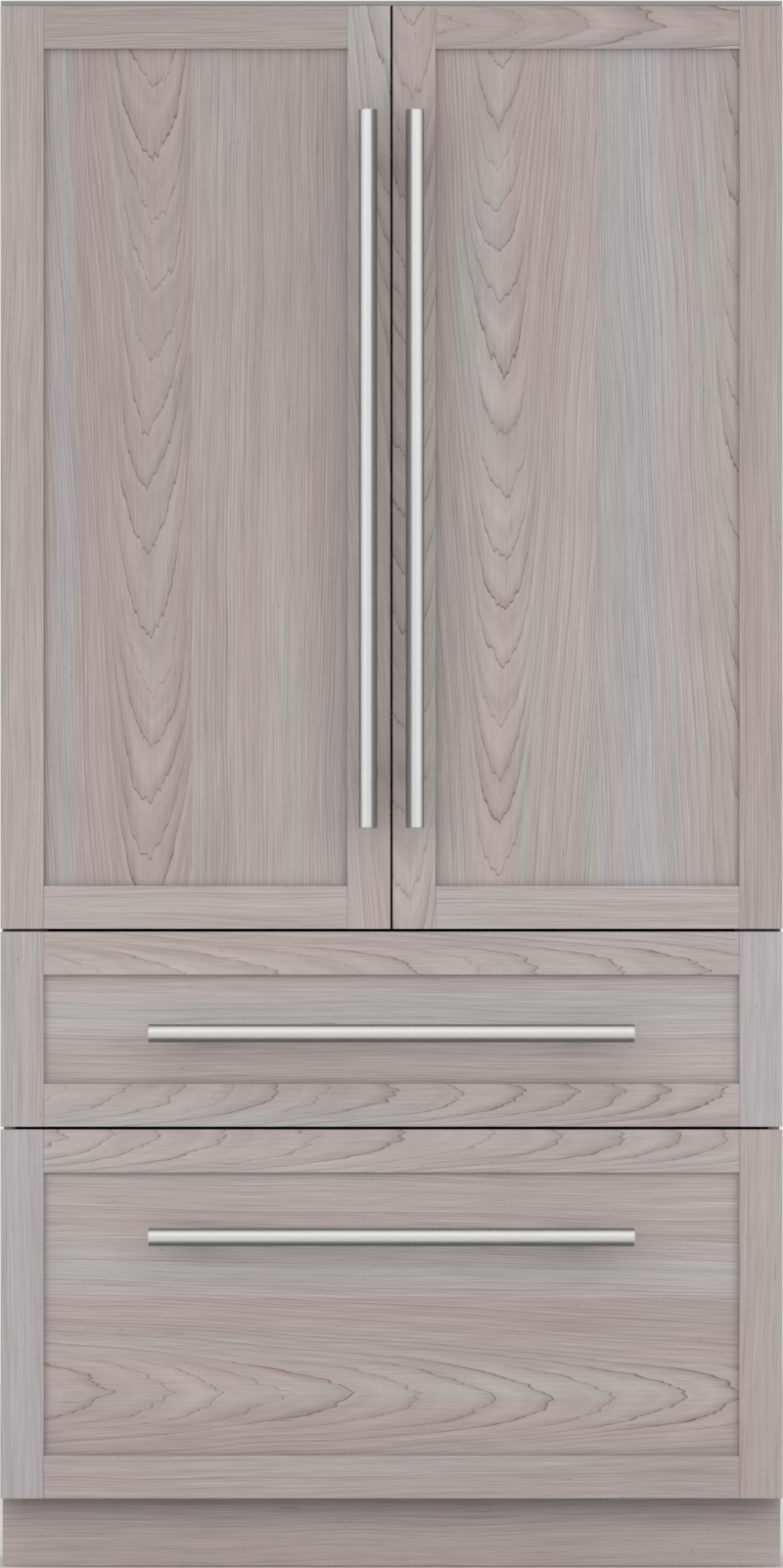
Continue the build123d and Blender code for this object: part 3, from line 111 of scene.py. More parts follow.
def bare_finish(name, metallic, ior=1.5):
    """A material with its tree and shader, ready for its nodes."""
    material = bpy.data.materials.new(name)
    material.use_nodes = True
    shader = material.node_tree.nodes["Principled BSDF"]
    shader.inputs["Metallic"].default_value = metallic
    if not metallic:
        shader.inputs["IOR"].default_value = ior
    return material, material.node_tree, shader


MATH, VECTOR, NOISE = "ShaderNodeMath", "ShaderNodeVectorMath", "ShaderNodeTexNoise"
ATTRIBUTE, RANGE, MIX = "ShaderNodeAttribute", "ShaderNodeMapRange", "ShaderNodeMix"
SPLIT = "ShaderNodeSeparateXYZ"
print("hex #808080 is", round(linear("#808080")[0], 3), "in linear light")

# %% [markdown]
# ## Stained maple
#
# The fronts are flat-sawn hard maple with a thin grey stain under a satin lacquer. Maple
# has hardly any pores, so its figure is the growth rings: cones round the pith, cut by
# the face of the board. Where the face runs nearly along the cones they show as stacked
# arches, whose tips shiver because a tiny wave in a ring is stretched twenty times along
# the face. To the sides the same rings run as straight lines.
#
# A picture of wood would tile. Here the shader works the rings out as the tree did: each
# board carries where it lay in the log, as attributes on its mesh, and every point finds
# which year it grew in. The rings are 4 to 5 mm wide.

# %% Where a point of the board lay in the log
maple, tree, shader = bare_finish("stained_flat_sawn_maple", 0.0)
grain = add(tree, ATTRIBUTE, {"attribute_name": "grain"}, {}).outputs["Vector"]
log, stain, strip, rim, reach = (
    add(tree, SPLIT, {}, {0: add(tree, ATTRIBUTE, {"attribute_name": name}, {}).outputs[1]}).outputs
    for name in ("log", "stain", "strip", "rim", "reach"))
along, across, inward = add(tree, SPLIT, {}, {0: grain}).outputs
pith_depth, taper, tree_number = log
warmth, tone_and_painted_light, line_strength = stain
strip_middle, strip_reach, strip_amount = strip
rim_x, rim_z, stain_and_shade_share = rim
rim_reach_x, rim_reach_z, stain_and_shade_width = reach

# Every board samples the noises somewhere else, so that no two share a pattern.
metres_apart = (3.1, 7.7, 5.3)
elsewhere = add(tree, VECTOR, {"operation": "SCALE"}, {0: metres_apart, "Scale": tree_number})
place = add(tree, VECTOR, {"operation": "ADD"}, {0: grain, 1: elsewhere.outputs[0]}).outputs[0]


def noise_at(per_metre, detail, roughness=0.5):
    """Noise on the board, with so many waves a metre along, across and into the grain."""
    return add(tree, NOISE, {}, {"Vector": add(tree, VECTOR, {"operation": "MULTIPLY"}, {
        0: place, 1: per_metre}).outputs[0], "Scale": 1.0, "Detail": detail,
        "Roughness": roughness}).outputs


# The trunk isn't straight: slow waves, 40 cm long, move the pith about.
pith_strays = (0.030, 0.009, 0.0)
wander = add(tree, VECTOR, {"operation": "MULTIPLY_ADD"}, {
    0: noise_at((2.4, 9.0, 9.0), 1.5)["Color"], 1: pith_strays,
    2: [-span / 2 for span in pith_strays]})
wander_across, wander_deep, _ = add(tree, SPLIT, {}, {0: wander.outputs[0]}).outputs
side = add(tree, MATH, {"operation": "ADD"}, {0: across, 1: wander_across}).outputs[0]
offside = add(tree, MATH, {"operation": "ABSOLUTE"}, {0: side}).outputs[0]
deep = add(tree, MATH, {"operation": "SUBTRACT"}, {0: pith_depth, 1: inward}).outputs[0]
print("the pith strays by up to", 500 * pith_strays[0], "mm to each side")

# %% [markdown]
# Rings are a little square, so the norm that measures how far out a point lies takes
# fourth powers instead of squares. That gives broad arches with steep sides. The
# trunk's taper turns the rings into arches, a slight pinch over the pith gives the
# arches their points, and a fine noise makes them shiver.

# %% The year in which a point grew
ring_width = 0.0046
squareness = 4.0
pinch = 0.08
shiver_depth = 0.0022
side_power = add(tree, MATH, {"operation": "POWER"}, {0: offside, 1: squareness}).outputs[0]
deep_power = add(tree, MATH, {"operation": "POWER"}, {0: deep, 1: squareness}).outputs[0]
both = add(tree, MATH, {"operation": "ADD"}, {0: side_power, 1: deep_power}).outputs[0]
radius = add(tree, MATH, {"operation": "POWER"}, {0: both, 1: 1 / squareness}).outputs[0]
grown = add(tree, MATH, {"operation": "MULTIPLY_ADD"}, {0: along, 1: taper, 2: radius}).outputs[0]
grown = add(tree, MATH, {"operation": "MULTIPLY_ADD"}, {0: offside, 1: pinch, 2: grown}).outputs[0]
grown = add(tree, MATH, {"operation": "ADD"}, {0: grown, 1: wander_deep}).outputs[0]
shiver = noise_at((9.0, 120.0, 120.0), 2.0, 0.55)["Fac"]
ragged = add(tree, MATH, {"operation": "MULTIPLY_ADD"}, {0: shiver, 1: shiver_depth, 2: grown})

# Good and bad years: the rings' width changes slowly from the pith outwards.
year_waves_per_metre = 38.0
year_swing = 1.5
years = add(tree, NOISE, {"noise_dimensions": "1D"}, {
    "W": add(tree, MATH, {"operation": "MULTIPLY_ADD"},
             {0: grown, 1: year_waves_per_metre, 2: tree_number}).outputs[0],
    "Scale": 1.0, "Detail": 1.0})
even = add(tree, MATH, {"operation": "DIVIDE"}, {0: ragged.outputs[0], 1: ring_width}).outputs[0]
ring = add(tree, MATH, {"operation": "MULTIPLY_ADD"}, {
    0: years.outputs["Fac"], 1: year_swing, 2: even}).outputs[0]
age = add(tree, MATH, {"operation": "FRACT"}, {0: ring}).outputs[0]
year = add(tree, MATH, {"operation": "FLOOR"}, {0: ring}).outputs[0]
luck = add(tree, "ShaderNodeTexWhiteNoise", {"noise_dimensions": "1D"}, {
    "W": add(tree, MATH, {"operation": "ADD"}, {0: year, 1: tree_number}).outputs[0]})
luck = luck.outputs["Value"]
print("rings in 100 mm of wood:", round(0.1 / ring_width))

# %% [markdown]
# A ring ends in late wood, which is dense and takes the stain darker. How far away its
# edge is has to be measured along the face, not across the ring, so that the line keeps
# its width of about 1.5 mm at an arch's tip, where the face cuts the ring at a slant.
# Some years leave only a faint one, and the flanks of an arch are fainter than its tip.

# %% The maple's dark lines
line_width = 0.0026
late_width = 0.016
faintest_year = 0.30
slope = add(tree, MATH, {"operation": "DIVIDE"}, {0: offside, 1: radius}).outputs[0]
slope = add(tree, MATH, {"operation": "POWER"}, {0: slope, 1: squareness - 1}).outputs[0]
slope = add(tree, MATH, {"operation": "ADD"}, {0: slope, 1: pinch}).outputs[0]
steep = add(tree, VECTOR, {"operation": "LENGTH"}, {
    0: add(tree, "ShaderNodeCombineXYZ", {}, {0: slope, 1: taper}).outputs[0]}).outputs["Value"]
left_over = add(tree, MATH, {"operation": "SUBTRACT"}, {0: 1.0, 1: age}).outputs[0]
away = add(tree, MATH, {"operation": "DIVIDE"}, {0: left_over, 1: steep}).outputs[0]
marked = add(tree, MATH, {"operation": "MULTIPLY_ADD"}, {
    0: luck, 1: 1 - faintest_year, 2: faintest_year}).outputs[0]
at_tip = add(tree, RANGE, {"interpolation_type": "SMOOTHSTEP"}, {
    "Value": steep, "From Min": 0.16, "From Max": 0.50, "To Min": 1.0, "To Max": 0.36}).outputs[0]
flat_cut = add(tree, RANGE, {}, {"Value": steep, "From Min": 0.20, "From Max": 0.70,
                                 "To Min": 1.0, "To Max": 0.30}).outputs[0]


def near_edge(width, shares):
    """How near a ring's edge is, from 1 to 0 over a width, times some shares."""
    near = add(tree, RANGE, {"interpolation_type": "SMOOTHSTEP"}, {
        "Value": away, "From Min": 0.0, "From Max": width / ring_width,
        "To Min": 1.0, "To Max": 0.0}).outputs[0]
    for share in shares:
        near = add(tree, MATH, {"operation": "MULTIPLY"}, {0: near, 1: share}).outputs[0]
    return near


line = near_edge(line_width, (marked, at_tip, line_strength))
late = near_edge(late_width, (luck, flat_cut))
print("late wood shades", 1000 * late_width, "mm of the face at the most")

# %% [markdown]
# Between the lines there are streaks that follow the rings, fibres too fine to show
# singly, a few dark flecks of bark, and rare dark threads of mineral. The stain takes
# unevenly: its hue drifts from neutral grey to pinkish brown over some 40 mm, and on
# some boards a blue-grey strip runs along the grain.

# %% The maple's stain
streaks_per_metre = (6.0, 330.0)
warmth_pull = 0.16
follow = add(tree, "ShaderNodeCombineXYZ", {}, {
    0: add(tree, MATH, {"operation": "MULTIPLY"}, {0: along, 1: streaks_per_metre[0]}).outputs[0],
    1: add(tree, MATH, {"operation": "MULTIPLY"}, {0: grown, 1: streaks_per_metre[1]}).outputs[0],
    2: tree_number}).outputs[0]
streaks = add(tree, NOISE, {}, {"Vector": follow, "Scale": 1.0, "Detail": 2.5,
                                "Roughness": 0.6}).outputs["Fac"]
band_tone, band_hue, _ = add(tree, "ShaderNodeSeparateColor", {}, {
    0: noise_at((1.2, 15.0, 15.0), 2.0, 0.5)["Color"]}).outputs
fibres = noise_at((11.0, 400.0, 400.0), 2.0, 0.65)["Fac"]
fleck = add(tree, RANGE, {}, {"Value": noise_at((95.0, 520.0, 520.0), 0.0)["Fac"],
                              "From Min": 0.835, "From Max": 0.87,
                              "To Min": 0.0, "To Max": 0.5}).outputs[0]
thread = add(tree, RANGE, {}, {"Value": noise_at((14.0, 520.0, 520.0), 0.0)["Fac"],
                               "From Min": 0.855, "From Max": 0.89,
                               "To Min": 0.0, "To Max": 0.6}).outputs[0]

lean = add(tree, MATH, {"operation": "MULTIPLY_ADD"}, {0: warmth, 1: warmth_pull, 2: band_hue})
pinkness = add(tree, RANGE, {}, {"Value": lean.outputs[0], "From Min": 0.30, "From Max": 0.70,
                                 "To Min": 0.0, "To Max": 1.0}).outputs[0]
wood = add(tree, MIX, {"data_type": "RGBA"}, {
    0: pinkness, 6: linear("#AFACAA"), 7: linear("#AFA19F")}).outputs[2]
off_strip = add(tree, MATH, {"operation": "SUBTRACT"}, {0: side, 1: strip_middle}).outputs[0]
off_strip = add(tree, MATH, {"operation": "ABSOLUTE"}, {0: off_strip}).outputs[0]
off_strip = add(tree, MATH, {"operation": "DIVIDE"}, {0: off_strip, 1: strip_reach}).outputs[0]
blueness = add(tree, RANGE, {"interpolation_type": "SMOOTHSTEP"}, {
    "Value": off_strip, "From Min": 0.30, "From Max": 1.40,
    "To Min": strip_amount, "To Max": 0.0}).outputs[0]
wood = add(tree, MIX, {"data_type": "RGBA"}, {
    0: blueness, 6: wood, 7: linear("#B0ACAF")}).outputs[2]

# Each pattern darkens or lightens the wood by its share. Less the excess, they average about 1.
tone = 0.74
tone_excess = 0.354
for pattern, share in ((streaks, 0.52), (band_tone, 0.28), (fibres, 0.44), (late, -0.21)):
    tone = add(tree, MATH, {"operation": "MULTIPLY_ADD"}, {0: pattern, 1: share, 2: tone}).outputs[0]
tone = add(tree, MATH, {"operation": "SUBTRACT"}, {0: tone, 1: tone_excess}).outputs[0]
# A board's tone is partly its own and partly painted light, lighter or darker with the light where it
# sits.
tone = add(tree, MATH, {"operation": "MULTIPLY"}, {0: tone, 1: tone_and_painted_light}).outputs[0]
wood = add(tree, VECTOR, {"operation": "SCALE"}, {0: wood, "Scale": tone}).outputs[0]
print("maple nodes so far:", len(tree.nodes))

# %% [markdown]
# At a joint the end grain drinks more of the stain, which draws the joint as a thin
# line. In the corner between a panel and its frame the wood is darkened too: painted
# shade, standing in for the shade in the corners of the recess. Over it all lies a satin
# lacquer, which sinks a little into the dark lines.

# %% The maple's joints, painted corner shade and lacquer
line_dip = -0.7
to_rim = [add(tree, MATH, {"operation": "SUBTRACT"}, {
    0: limit, 1: add(tree, MATH, {"operation": "ABSOLUTE"}, {0: off}).outputs[0]}).outputs[0]
    for off, limit in ((rim_x, rim_reach_x), (rim_z, rim_reach_z))]
to_rim = add(tree, MATH, {"operation": "MINIMUM"}, {0: to_rim[0], 1: to_rim[1]}).outputs[0]
# At the rails' ends this darkening is the stain in the end grain. Round a panel's field it is painted
# shade, standing in for the shade in the corners of the recess.
stain_and_shade = add(tree, RANGE, {}, {"Value": to_rim, "From Min": 0.0, "From Max": stain_and_shade_width,
                             "To Min": 1.0, "To Max": 0.0}).outputs[0]
stain_and_shade = add(tree, MATH, {"operation": "MULTIPLY"}, {0: stain_and_shade, 1: stain_and_shade}).outputs[0]
stain_and_shade = add(tree, MATH, {"operation": "MULTIPLY"}, {0: stain_and_shade, 1: stain_and_shade_share}).outputs[0]
for share, dark in ((line, "#735A53"), (fleck, "#57463F"), (thread, "#5E4C46"),
                    (stain_and_shade, "#5F534F")):
    wood = add(tree, MIX, {"data_type": "RGBA"}, {0: share, 6: wood, 7: linear(dark)}).outputs[2]
tree.links.new(wood, shader.inputs["Base Color"])
shader.inputs["Roughness"].default_value = 0.5
shader.inputs["Specular IOR Level"].default_value = 0.35
relief = add(tree, MATH, {"operation": "MULTIPLY_ADD"}, {0: line, 1: line_dip, 2: fibres})
tree.links.new(add(tree, "ShaderNodeBump", {}, {
    "Strength": 0.08, "Distance": 0.0003, "Height": relief.outputs[0]}).outputs[0],
    shader.inputs["Normal"])
print("maple nodes:", len(tree.nodes))

# %% [markdown]
# ## Boards
#
# A shaker front is four boards round a flat panel: two upright stiles run from end to
# end, and two rails fit between them. The panel is glued up from staves. Each board is
# a cube pulled to size and eased along its front edges with a bevel, as a router would.
# Its attributes then say how it was cut: which way the arches point, where the pith
# line runs, how deep the pith lies under the face and how fast the trunk tapers. They
# also say where the wood darkens at its rims: stain at the joints, and painted shade in
# the corners of a panel.

# %% How a board was cut
ways = {"down": ((0, 0, -1), (1, 0, 0)), "up": ((0, 0, 1), (1, 0, 0)),
        "right": ((1, 0, 0), (0, 0, 1)), "left": ((-1, 0, 0), (0, 0, 1))}
out_of_reach = 10.0
no_rim_darkening = (0.0, 0.0, out_of_reach, out_of_reach, 1.0, 0.0)


def cut(way, pith, depth, taper, number, warmth=0.0, tone_and_painted_light=1.0, lines=1.0, tilt=0.0,
        strip=(0.0, 0.01, 0.0)):
    """How a board was sawn and stained, in metres and degrees.

    The arches point the given way. The pith line is pith to the right of the board's
    middle, or above it on a level board, and lies depth behind the face. A strip of
    blue-grey has its place across from the pith, its half width and its amount.
    """
    return dict(way=way, pith=pith, log=(depth, taper, number), tilt=math.radians(tilt),
                stain=(warmth, tone_and_painted_light, lines), strip=strip)


def stain_and_shade_rim(low, high, width, share, only_x=False):
    """Where the wood darkens within a width of the rim of a rectangle, or of its ends: stain at the
    joints, painted shade round a panel.
    """
    return ((low.x + high.x) / 2, (low.z + high.z) / 2, (high.x - low.x) / 2,
            out_of_reach if only_x else (high.z - low.z) / 2, width, share)


print("arches can point", list(ways))

# %% One board with its grain
touching = 1e-6


def board(bm, low, high, sawn, eased=(), stain_and_shade=no_rim_darkening):
    """A straight board from corner to corner, eased by (axis, side, radius) along the front."""
    before = set(bm.verts)
    bmesh.ops.create_cube(bm, size=1.0, matrix=Matrix.LocRotScale(
        (low + high) / 2, None, high - low))
    for axis, outer, width in eased:
        at = (high if outer > 0 else low)[axis]
        arris = [e for e in bm.edges if e.verts[0] not in before and all(
            abs(v.co.y - low.y) < touching and abs(v.co[axis] - at) < touching for v in e.verts)]
        bmesh.ops.bevel(bm, geom=arris, offset=width, offset_type="OFFSET", segments=2,
                        profile=0.5, affect="EDGES", material=-1, clamp_overlap=True)
    lengthwise, crosswise = (Vector(d) for d in ways[sawn["way"]])
    middle = (low + high) / 2
    swing = Matrix.Rotation(sawn["tilt"], 3, "Z")
    middle_x, middle_z, half_x, half_z, width, share = stain_and_shade
    for v in (v for v in bm.verts if v not in before):
        off = v.co - middle
        flat = Vector((lengthwise.dot(off), crosswise.dot(off) - sawn["pith"], v.co.y - low.y))
        for name, value in (("grain", swing @ flat), ("log", sawn["log"]),
                            ("stain", sawn["stain"]), ("strip", sawn["strip"]),
                            ("rim", (v.co.x - middle_x, v.co.z - middle_z, share)),
                            ("reach", (half_x, half_z, width))):
            v[bm.verts.layers.float_vector[name]] = value


def joinery(name, node, body, boards):
    """An object made of boards, in place of a CAD node."""
    bm = bmesh.new()
    for layer in ("grain", "log", "stain", "strip", "rim", "reach"):
        bm.verts.layers.float_vector.new(layer)
    for each in boards:
        board(bm, *each)
    bmesh.ops.recalc_face_normals(bm, faces=bm.faces)
    mesh = bpy.data.meshes.new(name)
    bm.to_mesh(mesh)
    bm.free()
    mesh.materials.append(maple)
    piece = bpy.data.objects.new(name, mesh)
    bpy.context.scene.collection.objects.link(piece)
    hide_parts(node)
    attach(piece, body)
    print(name, "has", len(boards), "boards")


print("boards can be built")

# %% [markdown]
# ## How the fronts were cut
#
# The photograph shows what the sawyer did. The big arches of the left door stand a
# third of the way in, with a straight grey stave beside them. The right door has
# smaller arches next to a broad blue-grey band. The drawers' boards lie on their side.
# Their rails were ripped through the middle of the arches, so that one shows the upper
# flanks and the next the lower ones, and all of them point to the right. A board whose
# pith line lies far outside it has nearly straight grain.

# %% The doors' and drawers' boards, as they are in the picture
# The tone is partly each board's own and partly painted light: the doors' top rails are darker and
# their bottom rails lighter, as the light falls on the fronts.
# Way, pith, depth, taper and tree number, then warmth, tone with painted light, and strength of
# lines.
# Before each stave stands the share of the panel at which it ends.
boards_of = {
    "left_door": dict(
        left_stile=cut("down", -0.1573, 0.04, 0.010, 3, 0.1, 1.00, 0.9),
        right_stile=cut("down", 0.0609, 0.050, 0.045, 7, 0.2, 1.02, 0.8, tilt=-3.0),
        top_rail=cut("right", 0.1024, 0.03, 0.020, 11, 1.0, 0.94, 0.8),
        bottom_rail=cut("left", -0.1090, 0.04, 0.020, 13, 0.1, 1.04, 0.7),
        staves=((0.487, cut("down", 0.0448, 0.058, 0.055, 17, 1.5, 0.915, 1.1,
                            strip=(-0.122, 0.020, 0.85))),
                (1.0, cut("down", -0.4338, 0.05, 0.012, 19, 0.3, 0.95, 1.1)))),
    "right_door": dict(
        left_stile=cut("down", -0.0048, 0.050, 0.060, 23, 0.4, 0.99, 1.0),
        right_stile=cut("down", 0.0973, 0.03, 0.012, 29, 0.4, 0.95, 1.0),
        top_rail=cut("right", 0.0004, 0.045, 0.040, 31, 0.6, 0.92, 1.0),
        bottom_rail=cut("right", -0.0790, 0.05, 0.015, 37, 0.1, 1.04, 0.7),
        staves=((0.530, cut("down", -0.0197, 0.048, 0.062, 41, 0.3, 0.98, 1.2)),
                (1.0, cut("down", 0.1097, 0.048, 0.050, 43, 0.8, 0.99, 1.0,
                          strip=(-0.148, 0.062, 0.95))))),
    "upper_drawer": dict(
        left_stile=cut("down", -0.1373, 0.02, 0.010, 47, -0.4, 1.03, 0.7,
                       strip=(0.125, 0.030, 0.7)),
        right_stile=cut("up", 0.1373, 0.03, 0.010, 53, -0.6, 1.0, 0.4,
                        strip=(-0.135, 0.040, 0.9)),
        top_rail=cut("right", -0.0280, 0.050, 0.044, 59, 0.4, 1.01, 0.9),
        bottom_rail=cut("right", 0.0238, 0.050, 0.060, 61, 0.5, 0.98, 1.0),
        staves=((1.0, cut("right", -0.1831, 0.03, 0.006, 67, 0.2, 1.03, 0.8,
                          strip=(0.205, 0.030, 0.7))),)),
    "lower_drawer": dict(
        left_stile=cut("up", -0.1773, 0.03, 0.010, 71, -0.6, 0.95, 0.4,
                       strip=(0.175, 0.040, 0.9)),
        right_stile=cut("down", 0.1573, 0.03, 0.010, 73, 0.2, 0.99, 0.4, tilt=2.0),
        top_rail=cut("right", 0.0218, 0.050, 0.048, 79, 0.3, 1.01, 1.0),
        bottom_rail=cut("right", -0.1032, 0.04, 0.010, 83, 0.4, 0.98, 0.6, tilt=-1.0),
        staves=((0.557, cut("right", -0.0243, 0.062, 0.052, 89, 1.1, 0.975, 1.2)),
                (1.0, cut("right", -0.3925, 0.04, 0.010, 97, 0.1, 1.035, 0.9, tilt=0.5,
                          strip=(0.336, 0.024, 0.8))))),
}
toe_kick_cut = cut("right", 0.1505, 0.05, 0.010, 101, 0.8, 1.01, 0.6, strip=(-0.128, 0.010, 0.3))
print("boards described for", list(boards_of))

# %% Build the fronts from their boards
rail_width = 0.0585
glue_line = 0.0001
stave_gap = 0.00002
outer_edge = 0.0008
inner_edge = 0.0004
joint_edge = 0.0002
joint_stain = (0.0018, 0.42)
# Round each panel's field the wood is darkened as painted shade of the recess's corners.
corner_painted_shade = (0.014, 0.20)


def shaker_front(name):
    """A frame and a panel for one door or drawer, with the sizes of their CAD nodes."""
    low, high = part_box(f"{name}_frame")
    cuts = boards_of[name]
    left, right = low.x + rail_width, high.x - rail_width
    lower, upper = low.z + rail_width, high.z - rail_width

    def stile(x_low, x_high, sawn, outer):
        return (Vector((x_low, low.y, low.z)), Vector((x_high, high.y, high.z)), sawn,
                ((0, outer, outer_edge), (0, -outer, joint_edge)))

    def rail(z_low, z_high, sawn, outer):
        ends = (Vector((left + glue_line, low.y, z_low)), Vector((right - glue_line, high.y, z_high)))
        return (*ends, sawn, ((2, outer, outer_edge), (2, -outer, inner_edge)),
                stain_and_shade_rim(*ends, *joint_stain, only_x=True))

    joinery(f"{name}_stiles_and_rails", f"{name}_frame", name, [
        stile(low.x, left, cuts["left_stile"], -1), stile(right, high.x, cuts["right_stile"], 1),
        rail(upper, high.z, cuts["top_rail"], 1), rail(low.z, lower, cuts["bottom_rail"], -1)])

    panel_low, panel_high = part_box(f"{name}_panel")
    field_low = Vector((left + glue_line, panel_low.y, lower + glue_line))
    field_high = Vector((right - glue_line, panel_high.y, upper - glue_line))
    axis = 0 if cuts["staves"][0][1]["way"] in ("down", "up") else 2
    span = field_high[axis] - field_low[axis]
    staves = []
    start = 0.0
    for end, sawn in cuts["staves"]:
        stave_low, stave_high = field_low.copy(), field_high.copy()
        stave_low[axis] = field_low[axis] + start * span + (stave_gap if start else 0.0)
        stave_high[axis] = field_low[axis] + end * span - (stave_gap if end < 1 else 0.0)
        # Each stave carries the painted shade round the panel's field.
        staves.append((stave_low, stave_high, sawn, (),
                       stain_and_shade_rim(field_low, field_high, *corner_painted_shade)))
        start = end
    joinery(f"{name}_staves", f"{name}_panel", name, staves)


for front in boards_of:
    shaker_front(front)
kick_low, kick_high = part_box("toe_kick")
joinery("toe_kick_board", "toe_kick", "cabinet", [
    (kick_low, kick_high, toe_kick_cut, ((0, -1, outer_edge), (0, 1, outer_edge)))])

# %% [markdown]
# ## Steel
#
# Every steel on the appliance was rolled, and then brushed, plated or painted. Rolling
# and brushing leave fine lines in one direction. They are far thinner than a pixel, so
# they are drawn about half a millimetre wide, as coarse as they must be to show. They
# change the roughness more than the colour, which is what makes brushed metal shimmer.

# %% Brushed, plated and aluminium finishes
def drawn_metal(name, colour, shade, rough, lines_along, line_mm=0.5, length_mm=60.0, cloud=0.0,
                painted_shade_within=0.0):
    """Metal with fine lines along one axis, cloudy if it was plated, and black as painted shade up to
    an x.
    """
    material, tree, shader = bare_finish(name, 1.0)
    stretch = [1000 / line_mm] * 3
    stretch[lines_along] = 1000 / length_mm
    where = add(tree, "ShaderNodeTexCoord", {}, {}).outputs["Object"]
    fine = add(tree, VECTOR, {"operation": "MULTIPLY"}, {0: where, 1: stretch}).outputs[0]
    lines = add(tree, NOISE, {}, {"Vector": fine, "Scale": 1.0, "Detail": 3.0,
                                  "Roughness": 0.6}).outputs["Fac"]
    clouds = add(tree, NOISE, {}, {"Vector": where, "Scale": 22.0, "Detail": 3.0}).outputs["Fac"]
    blend = add(tree, MIX, {"data_type": "FLOAT"}, {0: cloud, 2: lines, 3: clouds}).outputs[0]
    tone = add(tree, MIX, {"data_type": "RGBA"}, {
        0: blend, 6: linear(colour), 7: linear(shade)}).outputs[2]
    # Within the x the sheet is black: painted shade for what lies deep behind the gaps.
    if painted_shade_within:
        off = add(tree, MATH, {"operation": "ABSOLUTE"}, {
            0: add(tree, SPLIT, {}, {0: where}).outputs[0]}).outputs[0]
        black = add(tree, MATH, {"operation": "LESS_THAN"}, {0: off, 1: painted_shade_within}).outputs[0]
        tone = add(tree, MIX, {"data_type": "RGBA"}, {
            0: black, 6: tone, 7: linear("#151515")}).outputs[2]
    tree.links.new(tone, shader.inputs["Base Color"])
    tree.links.new(add(tree, RANGE, {}, {
        "Value": blend, "From Min": 0.3, "From Max": 0.7,
        "To Min": rough - 0.05, "To Max": rough + 0.06}).outputs[0], shader.inputs["Roughness"])
    tree.links.new(add(tree, "ShaderNodeBump", {}, {
        "Strength": 0.12, "Distance": 0.0001, "Height": lines}).outputs[0],
        shader.inputs["Normal"])
    return material


along_x, along_y, along_z = 0, 1, 2
# Centreless-ground 304 tube: polished along its length, satin, a little warm.
bar_upright = drawn_metal("ground_stainless_upright", "#EEEEED", "#E4E4E3", 0.37, along_z)
bar_level = drawn_metal("ground_stainless_level", "#EEEEED", "#E4E4E3", 0.37, along_x)
# Brushed 430 sheet, folded with the lines from side to side: darker and duller.
brushed_sheet = drawn_metal("brushed_stainless_sheet", "#A9A8A5", "#979693", 0.38, along_x)
# The front frame is the same sheet, black but for its outer 15 mm. The black is painted
# shade for the deep gaps between the fronts, which turn from black to steel-grey near
# their ends.
painted_shade_reach = 0.5135
gap_shade_frame_sheet = drawn_metal("brushed_sheet_with_painted_gap_shade", "#A9A8A5", "#979693", 0.38, along_x,
                          painted_shade_within=painted_shade_reach)
# Zinc-plated mild steel: blue-white, and cloudy from the plating bath.
zinc_plated = drawn_metal("zinc_plated_steel", "#C3C7CA", "#A8ADB2", 0.34, along_y, cloud=0.6)
# Rolled aluminium fin stock: bright, thin, with faint rolling lines.
fin_stock = drawn_metal("rolled_aluminium_fins", "#D5D7D9", "#BFC2C5", 0.33, along_z, cloud=0.2)
print("drawn metals made")

# %% [markdown]
# Hot-dip galvanised sheet shows the zinc's crystals, called spangle, as flat patches
# about 12 mm across that each catch the light a little differently. A Voronoi pattern
# gives every crystal one random value, which sets its tone and its roughness.

# %% Galvanised sheet with its spangle
crystals_per_metre = 80.0
galvanised, tree, shader = bare_finish("galvanised_spangle_sheet", 1.0)
where = add(tree, "ShaderNodeTexCoord", {}, {}).outputs["Object"]
spangles = {"Vector": where, "Scale": crystals_per_metre}
crystals = add(tree, "ShaderNodeTexVoronoi", {}, spangles).outputs["Color"]
crystal = add(tree, "ShaderNodeSeparateColor", {}, {0: crystals}).outputs[0]
tree.links.new(add(tree, MIX, {"data_type": "RGBA"}, {
    0: crystal, 6: linear("#A4A9AD"), 7: linear("#B9BDC0")}).outputs[2],
    shader.inputs["Base Color"])
tree.links.new(add(tree, RANGE, {}, {"Value": crystal, "To Min": 0.36, "To Max": 0.52}).outputs[0],
               shader.inputs["Roughness"])
print("spangle is", 1000 / crystals_per_metre, "mm across")

# %% [markdown]
# ## Moulded, painted and foamed finishes
#
# The rest is plastic, paint, rubber and foam. None of it is perfectly even. Powder coat
# and enamel have orange peel, ripples 1 to 3 mm long. Tooled plastic has the fine grain
# of the spark-eroded mould. Vacuum-formed liner is smooth but waves slightly where the
# sheet was drawn. One function makes them all. It takes the colour, its shade, the
# roughness, and the length and strength of that relief.

